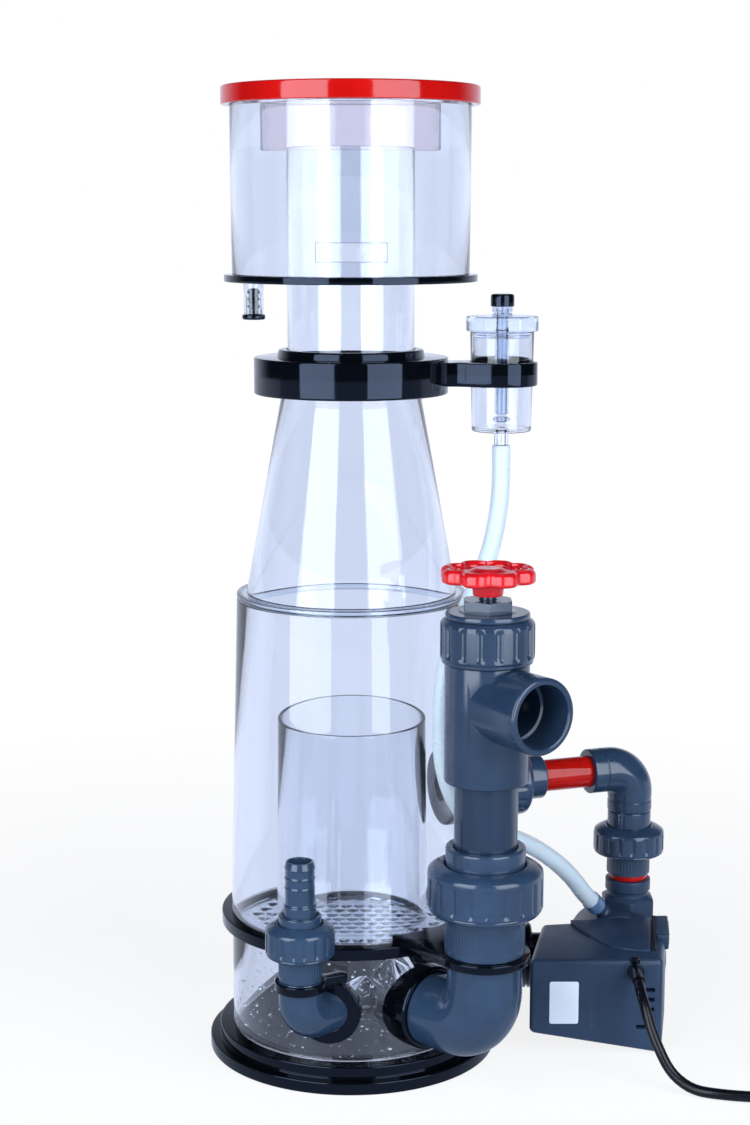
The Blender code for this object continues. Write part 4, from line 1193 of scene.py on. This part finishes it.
# ---- outlet, its support and the standpipe
outletWay = level(outlet["leg"])
outletAt = (*outlet["at"], 0.0)
elbowPiece("outletElbow", "outlet_elbow", outlet, 99.9, greyPvc)
points = turnedPoints(
    [
        (outlet["pipe"] + 0.2, 62.0, 0.1), (outlet["ring"], 62.0, 0.1), (outlet["ring"], 46.0, 1.2),
        (outlet["ring"] - 1.0, 44.5, 0.6), (outlet["pipe"] + 0.2, 44.5, 0.4)
    ],
    outletLegAt, outletWay, 120, 0.5, None, None
)
inward = (points - np.array(outletLegAt)) @ outletWay
snap = ontoChamber(points - outletWay * 40, outletWay, chamber["radius"] + 0.15)
points = np.where((inward > 55.0)[..., None], snap, points)
makePiece(
    "outletRing", points, gridFaces(points.shape[0], 120, True, True), blackAcrylic, "skimmer_body",
    ["outlet_port_ring"]
)
brace = {"band": 28.5, "low": 94.4, "high": 99.8, "edge": 0.8}
turn = np.radians(-71.0 + 5.0 * np.arange(11))
inner = np.stack([80.95 * np.cos(turn), 80.95 * np.sin(turn)], axis=1)
turn = np.radians(20.0 - 190.0 * np.arange(33) / 32)
bandOut = np.array(outlet["at"]) + brace["band"] * np.stack([np.cos(turn), np.sin(turn)], axis=1)
support = plate(
    "outletBrace", np.concatenate([inner, bandOut])[::-1], brace["low"], brace["high"],
    brace["edge"], blackAcrylic, ["outlet_support_plate"]
)
carve(
    support,
    [
        drill(body["rLow"] + 0.1, 90, 110, (0, 0, 0), up, 192),
        drill(outlet["pipe"] + 0.1, 90, 110, outletAt, up, 96)
    ]
)
ribbedEnd(
    "outletUnionEnd", "outlet_union_end", outletAt, up, outlet["bore"], 25.0, 100.0, 141.0, greyPvc,
    (103.0, 121.0), 66
)
unionNut(
    "outletNut", "outlet_union_nut", "outlet_nut", outletAt, up, 35.9, 25.4, 126.0, 157.0, 20,
    greyPvc
)
turned(
    "outletUnionTop",
    [
        (19.8, 167.2, 0.3), (20.6, 168.0, 0.4), (24.8, 168.0, 1.6), (24.8, 156.5, 0.3),
        (24.2, 156.0, 0.2), (24.2, 141.3, 0.4), (19.8, 141.3, 0.4)
    ],
    greyPvc, replaced=["outlet_union_top"], at=outletAt, steps=96
)
turned(
    "standpipe", tubeProfile(17.0, 19.6, 142.0, 232.0), greyPipe, replaced=["standpipe"],
    at=outletAt, steps=96
)
print("inlet and outlet made")

# ---- valve: tee body, bonnet nut, bonnet, gland, spindle, gate and handwheel
valve = {
    "radius": 26.0, "low": 209.0, "high": 283.4, "branch": 259.5, "branchRadius": 23.5,
    "reach": 54.0, "bore": 19.2
}
branchWay = level(-55.0)
branchAt = (*outlet["at"], valve["branch"])
teeBody = turned(
    "valveTee",
    [
        (18.0, valve["high"]), (valve["radius"], valve["high"], 0.8),
        (valve["radius"], valve["low"], 1.8), (20.6, valve["low"], 0.4),
        (19.8, valve["low"] + 0.8, 0.3), (19.8, 232.2), (18.0, 232.2)
    ],
    valvePvc, replaced=["valve_tee"], at=outletAt, steps=144, soft=0.4
)
branch = turned(
    "branch",
    [
        (0, 0.0), (valve["branchRadius"], 0.0, 0.1), (valve["branchRadius"], 45.6, 0.6),
        (valve["branchRadius"], valve["reach"], 1.8), (valve["bore"], valve["reach"], 1.4),
        (valve["bore"], 30.5, 0.5), (17.2, 30.0, 0.5), (17.2, 8.0, 0.1), (0, 8.0)
    ],
    valvePvc, None, at=branchAt, along=branchWay, steps=120
)
carve(teeBody, [branch], "UNION")
carve(
    teeBody,
    [drill(17.2, 4.0, 45.0, branchAt, branchWay, 120), drill(18.0, 232.5, 290.0, outletAt, up, 144)]
)


def flutes(r, h, angle):
    # Sixteen wide flutes of the bonnet nut, their ends rounded.
    period = 2 * math.pi / 16
    off = np.abs((angle % period) / period - 0.5) * 2
    ridge = np.clip((0.36 - off) / 0.12, 0, 1)
    ridge = 1 - ridge * ridge * (3 - 2 * ridge)
    fade = np.clip(np.minimum(h - 288.0, 308.6 - h) / 2.2, 0, 1) ** 0.6
    return np.where(r > 28.2, r - 1.1 * (1 - ridge) * fade, r), h


turned(
    "bonnetNut",
    [
        (21.1, 311.0, 0.4), (25.6, 311.0, 1.2), (28.8, 308.6, 3.0), (28.8, 286.8, 0.5),
        (27.9, 286.2, 0.4), (27.9, 283.8, 0.6), (21.1, 283.8, 0.4)
    ],
    valvePvc, body="bonnet_nut", replaced=["bonnet_nut"], at=outletAt, steps=224,
    soft=0.6, fine=0.9, reshape=flutes, sharp=38.0
)


def hexagonAbove(r, h, angle):
    # Above the disc the gland's wall is a hexagon: r becomes the flats' distance over the
    # cosine from the nearest flat's middle.
    half = math.pi / 6
    within = (angle + half) % (2 * half) - half
    flat = 14.2 / np.cos(within)
    return np.where((r > 9.0) & (r < 20.0) & (h > 314.8), np.minimum(flat, r + 0.4), r), h


turned(
    "valveBonnet",
    [
        (5.4, 322.0, 0.6), (16.0, 322.0, 1.3), (16.0, 315.2, 0.2), (17.4, 314.6, 0.4),
        (25.8, 314.6, 1.3), (25.8, 311.2, 0.6), (20.6, 311.2, 0.2), (20.6, 283.7, 0.5),
        (17.6, 283.7, 0.5), (17.6, 308.0, 0.5), (5.4, 308.0, 0.3)
    ],
    valvePvc, replaced=["valve_bonnet"], at=outletAt, steps=144, soft=0.5,
    fine=0.8, reshape=hexagonAbove, sharp=25.0
)
thread = np.linspace(267.0, 306.0, 27)
turned(
    "valveSpindle",
    [(0, 340.0), (5.0, 340.0, 0.8), (5.0, 308.0, 0.2)] + [
        (5.0 if i % 2 else 4.3, z, 0.3) for i, z in enumerate(thread[::-1])
    ] + [(4.6, 263.0, 0.6), (0, 263.0)],
    valvePvc, body="handwheel", replaced=["valve_spindle"], at=outletAt, steps=48
)
turned(
    "valveGate",
    [
        (5.3, 289.5, 0.4), (12.0, 289.5, 0.8), (16.6, 286.0, 1.4), (16.6, 277.0, 0.4),
        (15.9, 276.3, 0.3), (15.9, 272.0, 0.3), (16.6, 271.3, 0.4), (16.6, 262.0, 1.4),
        (12.0, 258.0, 1.0), (0, 258.0), (0, 262.0), (5.3, 262.0, 0.2)
    ],
    glossBlack, body="gate", replaced=["valve_gate"], at=outletAt, steps=96
)
wheel = {
    "radius": 29.5, "low": 333.0, "high": 342.0, "lobes": 8, "dip": 4.4, "hub": 10.0,
    "hubLow": 324.5
}


def lobed(r, h, angle):
    # Eight lobes: outside the dish r drops by dip where cos(4a) is near one, so the valleys are
    # narrow and the lobes full. Short slots sink into the dish between the spokes.
    valley = np.cos(wheel["lobes"] / 2 * angle) ** 4
    outer = np.clip((r - 20.0) / 6.0, 0, 1)
    slot = np.clip((np.cos(wheel["lobes"] * angle + math.pi) - 0.1) / 0.3, 0, 1)
    band = np.clip((2.3 - np.abs(r - 19.5)) / 0.8, 0, 1)
    upper = np.clip((h - 336.5) / 0.5, 0, 1)
    return r - wheel["dip"] * valley * outer, h - 2.4 * slot * band * upper


turned(
    "handWheel",
    [
        (0, 341.4), (7.5, 341.4, 1.4), (12.0, 339.6, 1.2), (17.0, 339.2, 2.0), (22.6, 339.6, 2.0),
        (24.2, 341.6, 1.2), (26.2, wheel["high"], 1.2), (wheel["radius"], 340.2, 2.6),
        (wheel["radius"], 334.0, 1.8), (27.5, wheel["low"], 1.6), (22.0, wheel["low"], 1.0),
        (20.5, 334.6, 1.0), (13.0, 334.6, 1.5), (wheel["hub"], 332.0, 1.5),
        (wheel["hub"] - 0.8, wheel["hubLow"], 0.8), (5.2, wheel["hubLow"], 0.4), (5.2, 340.3, 0.2),
        (0, 340.3)
    ],
    redAbs, body="handwheel", replaced=["handwheel"], at=outletAt, steps=256,
    soft=0.8, fine=0.7, reshape=lobed, sharp=40.0
)
print("valve made")

# ---- return line and pump union
turned(
    "returnBulkhead",
    [
        (9.0, 104.0), (15.0, 104.0, 0.8), (15.0, 84.0, 0.6), (11.0, 84.0, 0.3), (11.0, 70.4, 0.2),
        (24.0, 70.4, 1.2), (24.0, 63.5, 1.8), (9.0, 63.5, 0.6)
    ],
    greyPvc, replaced=["return_bulkhead"], at=returnAt, along=returnWay
)
unionNut(
    "returnNut", "return_union_nut", "return_nut", returnAt, returnWay, 24.3, 15.3, 92.0, 125.0, 16,
    greyPvc
)
turned(
    "returnSocket",
    [
        (11.0, 136.4, 0.3), (11.8, 137.0, 0.4), (15.0, 137.0, 1.2), (15.0, 104.2, 0.5),
        (11.0, 104.2, 0.4)
    ],
    greyPvc, replaced=["return_socket"], at=returnAt, along=returnWay
)
turned(
    "redPipe", tubeProfile(8.6, 10.9, 106.0, 183.0), redPipeVinyl, replaced=["red_pipe"],
    at=returnAt, along=returnWay, steps=96
)
pumpUnion = {
    "at": (193.7, 70.5), "bend": 17.0, "pipe": 15.4, "bore": 11.1, "run": 33.0, "low": 140.0
}
pumpAt = (*pumpUnion["at"], 0.0)
t = np.linspace(0, math.pi / 2, 25)
corner = np.array((*pumpUnion["at"], returnLine["height"])) - returnWay * pumpUnion["bend"]
dip = pumpUnion["bend"] * (1 - np.cos(t))
arc = corner + returnWay * (pumpUnion["bend"] * np.sin(t))[:, None] - np.array(up) * dip[:, None]
# The socket's mouth, a shallow joint line and the bend.
inSteps = np.array([0.0, 0.12, 0.4, 1.0, 2.2, 6.0, 9.0, 9.5, 10.0, 10.5, 13.0])
into = corner - returnWay * (pumpUnion["run"] - pumpUnion["bend"]) + returnWay * inSteps[:, None]
downSteps = np.array([2.0, 5.0, 5.5, 6.0, 6.5, 9.0, 11.5, 12.4, 12.85, 13.0])
down = arc[-1] - np.array(up) * (downSteps / 13.0 * (arc[-1][2] - pumpUnion["low"]))[:, None]
route = np.concatenate([into, arc, down])
outer = np.full(len(route), pumpUnion["pipe"])
outer[[0, 1, 2]] -= (1.0, 0.5, 0.15)
outer[-3:] -= (0.1, 0.4, 0.9)
outer[[7, 8]] -= (0.35, 0.35)
outer[-9:-7] -= (0.35, 0.35)
points = tubePoints(route, outer, pumpUnion["bore"], 72, np.cross(returnWay, up))
makePiece(
    "returnElbow", points, gridFaces(points.shape[0], 72, True, True), greyPvc, "skimmer_body",
    ["return_elbow"], 30.0
)
ribbedEnd("pumpUnionTop", "pump_union_top", pumpAt, up, 10.0, 15.0, 113.2, 139.9, greyPvc)
unionNut("pumpNut", "pump_union_nut", "pump_nut", pumpAt, up, 24.5, 15.3, 108.5, 129.0, 16, greyPvc)
ribbedEnd(
    "pumpUnionEnd", "pump_union_end", pumpAt, up, 10.0, 15.0, 94.4, 113.0, greyPvc, (95.5, 107.0),
    44
)
turned(
    "pumpSealRing", tubeProfile(10.0, 13.4, 90.5, 94.3), redPipeVinyl, replaced=["pump_seal_ring"],
    at=pumpAt, soft=0.8
)
print("return line made")

# ---- pump: volute, discharge, housing and its small parts
volute = {"x": 185.0, "z": 38.0, "radius": 34.0, "front": 42.0, "back": 86.0}
drumAt = (volute["x"], 0.0, volute["z"])
behindWay = (0.0, 1.0, 0.0)


def ribbedDrum(r, h, angle):
    # Twelve shallow flats run along the drum's outer wall.
    wave = np.cos(12 * angle)
    return np.where(r > 33.0, r - 0.35 * (0.5 + 0.5 * wave), r), h


drum = turned(
    "pumpVolute",
    [
        (0, volute["back"]), (20.0, volute["back"], 0.5), (21.5, volute["back"] - 1.5, 0.5),
        (30.0, volute["back"] - 1.5, 2.0), (volute["radius"], volute["back"] - 6.0, 3.0),
        (volute["radius"], volute["front"] + 4.0, 1.0),
        (volute["radius"] - 1.2, volute["front"], 1.0), (13.2, volute["front"]), (13.2, 50.0),
        (29.0, 50.0), (29.0, 82.0), (0, 82.0)
    ],
    pumpAbs, replaced=["pump_volute"], at=drumAt, along=behindWay, steps=144,
    reshape=ribbedDrum
)


def sixSided(r, h, angle):
    # The collar at the barrel's foot is six sided and blends into a cone below.
    half = math.pi / 6
    within = (angle + half) % (2 * half) - half
    flat = 17.0 / np.cos(within)
    return np.where(r > 17.5, np.minimum(r, flat), r), h


barrelPiece = turned(
    "voluteBarrel",
    [
        (0, 90.3), (15.7, 90.3, 0.8), (15.7, 82.5, 0.4), (14.6, 81.5, 0.4), (14.6, 79.0, 0.4),
        (19.4, 76.0, 0.8), (24.0, 68.5, 0.6), (24.0, 56.0, 0.3), (0, 56.0)
    ],
    pumpAbs, None, at=pumpAt, steps=96, reshape=sixSided
)
nippleWay = np.array((0.52, 0.55, -0.65)) / np.linalg.norm((0.52, 0.55, -0.65))
nippleAt = np.array(hoseRoute[-1])
nipplePiece = turned(
    "voluteNipple",
    [(0, 22.0), (5.6, 22.0, 0.3), (5.6, 8.0, 0.8), (4.3, 6.5, 0.4), (4.3, 0.8, 0.6), (0, 0.8)],
    pumpAbs, None, at=nippleAt, along=nippleWay, steps=48
)
carve(drum, [barrelPiece, nipplePiece], "UNION")
carve(
    drum,
    [
        drill(29.0, 50.0, 82.0, drumAt, behindWay, 144), drill(10.0, 52.0, 95.0, pumpAt, up, 64),
        drill(11.8, 20.0, 50.0, discharge["at"], (-1, 0, 0))
    ]
)
sleeveShape = {"outer": 6.7, "inner": 6.05, "long": 9.5}
turned(
    "hoseSleeve",
    tubeProfile(sleeveShape["inner"], sleeveShape["outer"], -sleeveShape["long"], 0.0), sleeveVinyl,
    at=nippleAt, along=nippleWay, steps=48, soft=0.3
)
dischargePipe = turned(
    "dischargePipe",
    [
        (discharge["bore"], 150.0), (discharge["pipe"], 150.0), (discharge["pipe"], 68.2, 0.8),
        (21.6, 68.2, 0.6), (21.6, 66.6, 0.3), (22.7, 66.2, 0.4), (22.7, 64.2, 0.4),
        (21.2, 63.8, 0.3), (21.2, 63.2, 0.3), (22.7, 62.8, 0.4), (22.7, 60.8, 0.4),
        (21.6, 60.4, 0.3), (21.6, 59.8, 0.6), (discharge["pipe"], 59.8, 0.8),
        (discharge["pipe"], 20.0), (discharge["bore"], 20.0)
    ],
    glossBlack, replaced=["discharge_pipe"], at=discharge["at"],
    along=(-1, 0, 0), steps=120, soft=0.3
)
carve(
    dischargePipe,
    [
        drill(volute["radius"] + 0.05, 30, 95, drumAt, behindWay, 144),
        drill(chamber["radius"] + 0.1, 0, 84, (0, 0, 0), up, 192)
    ]
)

housing = {
    "low": ((117.4, -30.0, 15.2), (205.5, -30.0, 0.6), (217.0, 38.0, 0.6), (131.0, 38.0, 13.0)),
    "high": ((117.4, -30.0, 65.2), (205.5, -30.0, 66.0), (217.0, 38.0, 72.0), (131.0, 38.0, 67.0)),
    "edge": 3.6, "belly": 1.6
}


def housingPoint(u, v, w):
    # The eight corners blended by u along, v back and w up, with the belly sagging most in the
    # middle.
    low = [np.array(c) for c in housing["low"]]
    high = [np.array(c) for c in housing["high"]]
    u, v, w = u[..., None], v[..., None], w[..., None]
    bottom = (1 - v) * ((1 - u) * low[0] + u * low[1]) + v * ((1 - u) * low[3] + u * low[2])
    top = (1 - v) * ((1 - u) * high[0] + u * high[1]) + v * ((1 - u) * high[3] + u * high[2])
    point = bottom * (1 - w) + top * w
    point[..., 2] += (
        -housing["belly"] * np.sin(math.pi * u) * (1 - w) + 0.6 * np.sin(math.pi * u) * w
    )[..., 0]
    return point


# The rounded block is made at the housing's mean size, then warped on to the corners.
meanSize = np.array((87.0, 68.0, 60.0))
points, faces = roundedBlock((0, 0, 0), meanSize, housing["edge"], 8)
span = points / meanSize
points = housingPoint(span[..., 0], span[..., 1], span[..., 2])
points[..., 2] = np.maximum(points[..., 2], 0.3)
shell = makePiece(
    "pumpHousing", points, faces, pumpAbs, "skimmer_body", ["pump_shell"], 24.0
)


def boxPiece(name, low, high, edge, material, bodyName=None, cells=4):
    points, faces = roundedBlock(low, high, edge, cells)
    return makePiece(name, points, faces, material, bodyName, (), 35.0)


slots = [
    (194.2, 200.7, 45.1), (193.6, 200.5, 38.3), (193.8, 200.4, 31.6), (193.4, 200.2, 25.3),
    (188.6, 195.6, 19.4)
]
cutters = [
    boxPiece("slot%d" % k, (x0, -33.0, z - 1.4), (x1, -22.0, z + 1.4), 0.5, pumpAbs)
    for k, (x0, x1, z) in enumerate(slots)
]
cutters.append(boxPiece("recess", (157.4, -33.0, 18.6), (164.8, -29.75, 49.6), 0.8, pumpAbs))
cutters.append(drill(13.0, -10, 50, drumAt, behindWay, 64))
cutters.append(drill(5.2, -6, 10, (187.3, -30.0, 58.3), behindWay, 48))
carve(shell, cutters, sharp=24.0)


def frontPlate(name, outline, near, thick, edge, material, faceY=-30.0):
    # An (x, z) outline standing on the housing's front: the layers' height runs towards the
    # viewer.
    layers = plateLayers(outline, near, near + thick, edge, 3)
    points = np.stack([layers[..., 0], faceY - layers[..., 2], layers[..., 1]], axis=-1)
    faces = layerFaces(*points.shape[:2])
    return makePiece(name, points, faces, material, "skimmer_body", (), 35.0)


labelShape = {"x": (130.9, 150.1), "z": (21.7, 50.9), "corner": 1.6, "thick": 0.22}
x0, x1 = labelShape["x"]
z0, z1 = labelShape["z"]
frontPlate(
    "pumpLabel", softened([(x0, z0), (x1, z0), (x1, z1), (x0, z1)], labelShape["corner"], 6),
    -0.02, labelShape["thick"], 0.08, labelFilm
)
t = np.radians(np.linspace(180, 360, 25))
archShape = {"x": 187.3, "z": 58.3, "radius": 6.5, "top": 66.2, "thick": 0.7}
arch = np.concatenate(
    [
        np.stack(
            [
                archShape["x"] + archShape["radius"] * np.cos(t),
                archShape["z"] + archShape["radius"] * np.sin(t)
            ],
            axis=1
        ),
        [
            (archShape["x"] + archShape["radius"], archShape["top"] - 2.6),
            (archShape["x"] - archShape["radius"], archShape["top"] - 2.6)
        ]
    ]
)
archPiece = frontPlate("glandArch", arch, -1.0, 1.0 + archShape["thick"], 0.4, pumpAbs)
carve(archPiece, [drill(5.2, -6, 10, (187.3, -30.0, 58.3), behindWay, 48)])
boxPiece(
    "glandLatch", (184.3, -31.2, 64.0), (190.3, -26.0, 67.0), 0.6, glossBlack, "skimmer_body",
)
turned(
    "leadBoot",
    [
        (3.55, 20.0, 0.1), (4.1, 20.0, 0.2), (4.6, 8.0, 0.6), (4.9, 2.6, 0.5), (5.0, 2.2, 0.2),
        (5.9, 2.2, 0.6), (5.9, 0.9, 0.5), (5.0, 0.9, 0.2), (5.0, -4.6, 0.4), (3.55, -4.6, 0.1)
    ],
    glossBlack, replaced=["cord_strain_relief"], at=(187.3, -30.0, 58.3),
    along=(0.0, -1.0, 0.0), steps=64
)

# The cover plate over the impeller, its bar and the ribbed catch on the right.
cover = np.array(
    [
        (150.5, 36.5), (154.0, 24.0), (161.0, 8.0), (169.0, -5.0), (178.0, -13.0), (188.0, -16.6),
        (199.0, -17.6), (205.8, 36.5)
    ]
)


def topPlate(name, outline, lift, thick, edge, material):
    # An (x, y) outline laid on the housing's sloping top.
    layers = plateLayers(outline, 0.0, thick, edge, 4)
    u = (layers[..., 0] - 117.4) / 92.0
    v = (layers[..., 1] + 30.0) / 68.0
    base = 65.2 + 0.8 * u + v * (1.8 + 3.4 * u) + 0.6 * np.sin(math.pi * np.clip(u, 0, 1))
    points = np.stack([layers[..., 0], layers[..., 1], base + lift + layers[..., 2]], axis=-1)
    faces = layerFaces(*points.shape[:2])
    return makePiece(name, points, faces, material, "skimmer_body", (), 30.0)


curve = smoothPath([(*p, 0.0) for p in cover[:7]], 2.5)[:, :2]
topPlate("pumpCover", np.concatenate([curve, cover[7:]]), -1.0, 2.6, 0.9, pumpAbs)
topPlate(
    "pumpBar", [(199.6, -17.0), (202.6, -16.8), (209.4, 36.0), (206.4, 36.2)], -1.0, 3.6, 0.6,
    glossBlack
)
catch = {"low": (207.0, 3.0, 63.0), "high": (215.6, 35.0, 73.6), "edge": 1.2, "ribs": 9}
points, faces = roundedBlock(catch["low"], catch["high"], catch["edge"], 6)
lean = (points[..., 1] - catch["low"][1]) / 32.0
points[..., 0] += (lean - 0.5) * 3.4
points[..., 2] += np.clip(lean - 0.75, 0, 1) * 3.0 - (1 - lean) * 2.2
makePiece("pumpCatch", points, faces, pumpAbs, "skimmer_body", (), 30.0)
for k in range(catch["ribs"]):
    y = 5.0 + 2.5 * k
    share = (y - 3.0) / 32.0
    shift = (share - 0.5) * 3.4
    boxPiece(
        "catchRib%d" % k, (206.6 + shift, y, 66.0 - (1 - share) * 2.2),
        (215.9 + shift, y + 1.1, 74.1 - (1 - share) * 2.2), 0.4, pumpAbs, "skimmer_body",
        3
    )

# Inner works left as the frame has them, in their own finishes.
for node, material in (
    ("impeller_shaft", ceramic), ("magnet_rotor", glossBlack), ("needle_wheel", ceramic)
):
    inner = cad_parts[node]
    inner.data.materials.clear()
    inner.data.materials.append(material)
print("pump made")

# ---- water beads left in the lower chamber
beads = {"wall": 230, "base": 70, "plate": 60, "seed": 7}


def beadCloud(name, at, out, radius):
    # Each bead is a low dome: rings of eight points at the crown, halfway, the rim and the
    # foot's middle.
    n = len(at)
    out = out / np.linalg.norm(out, axis=1)[:, None]
    helper = np.where(np.abs(out[:, 2:]) > 0.9, np.array([[1.0, 0, 0]]), np.array([[0, 0, 1.0]]))
    side = np.cross(helper, out)
    side /= np.linalg.norm(side, axis=1)[:, None]
    over = np.cross(out, side)
    ringR = np.array([0.0, 0.62, 0.95, 1.0, 0.0])
    ringH = np.array([0.66, 0.52, 0.22, 0.0, 0.0])
    angle = 2 * math.pi * np.arange(8) / 8
    r = ringR[None, :, None] * radius[:, None, None]
    h = np.broadcast_to(ringH[None, :, None] * radius[:, None, None], (n, 5, 8))
    points = at[:, None, None] + (r * np.cos(angle))[..., None] * side[:, None, None]
    points = points + (r * np.sin(angle))[..., None] * over[:, None, None]
    points = points + h[..., None] * out[:, None, None]
    faces = (gridFaces(5, 8, False, True)[None] + 40 * np.arange(n)[:, None, None]).reshape(-1, 4)
    return makePiece(name, points, faces, water, "skimmer_body", sharp=60.0)


random = np.random.default_rng(beads["seed"])
n = beads["wall"]
angle = np.radians(random.uniform(-185, -60, n))
height = 18.5 + 64.0 * random.uniform(0, 1, n) ** 0.8
inward = -np.stack([np.cos(angle), np.sin(angle), 0 * angle], axis=1)
wallR = chamber["radius"] - chamber["wall"] - 0.03
at = np.concatenate([-inward[:, :2] * wallR, height[:, None]], axis=1)
beadCloud("wallBeads", at, inward, 0.45 + 1.0 * random.uniform(0, 1, n) ** 3)
n = beads["base"]
angle = random.uniform(0, 2 * math.pi, n)
reach = 70.0 * np.sqrt(random.uniform(0.02, 1, n))
at = np.stack([reach * np.cos(angle), reach * np.sin(angle), np.full(n, 16.03)], axis=1)
beadCloud(
    "baseBeads", at, np.tile(np.array([[0, 0, 1.0]]), (n, 1)),
    0.7 + 1.5 * random.uniform(0, 1, n) ** 2
)
n = beads["plate"]
angle = random.uniform(0, 2 * math.pi, n)
reach = 52.0 + 18.0 * random.uniform(0, 1, n)
at = np.stack([reach * np.cos(angle), reach * np.sin(angle), np.full(n, 92.03)], axis=1)
beadCloud(
    "plateBeads", at, np.tile(np.array([[0, 0, 1.0]]), (n, 1)),
    0.4 + 0.8 * random.uniform(0, 1, n) ** 2
)
print("beads set")
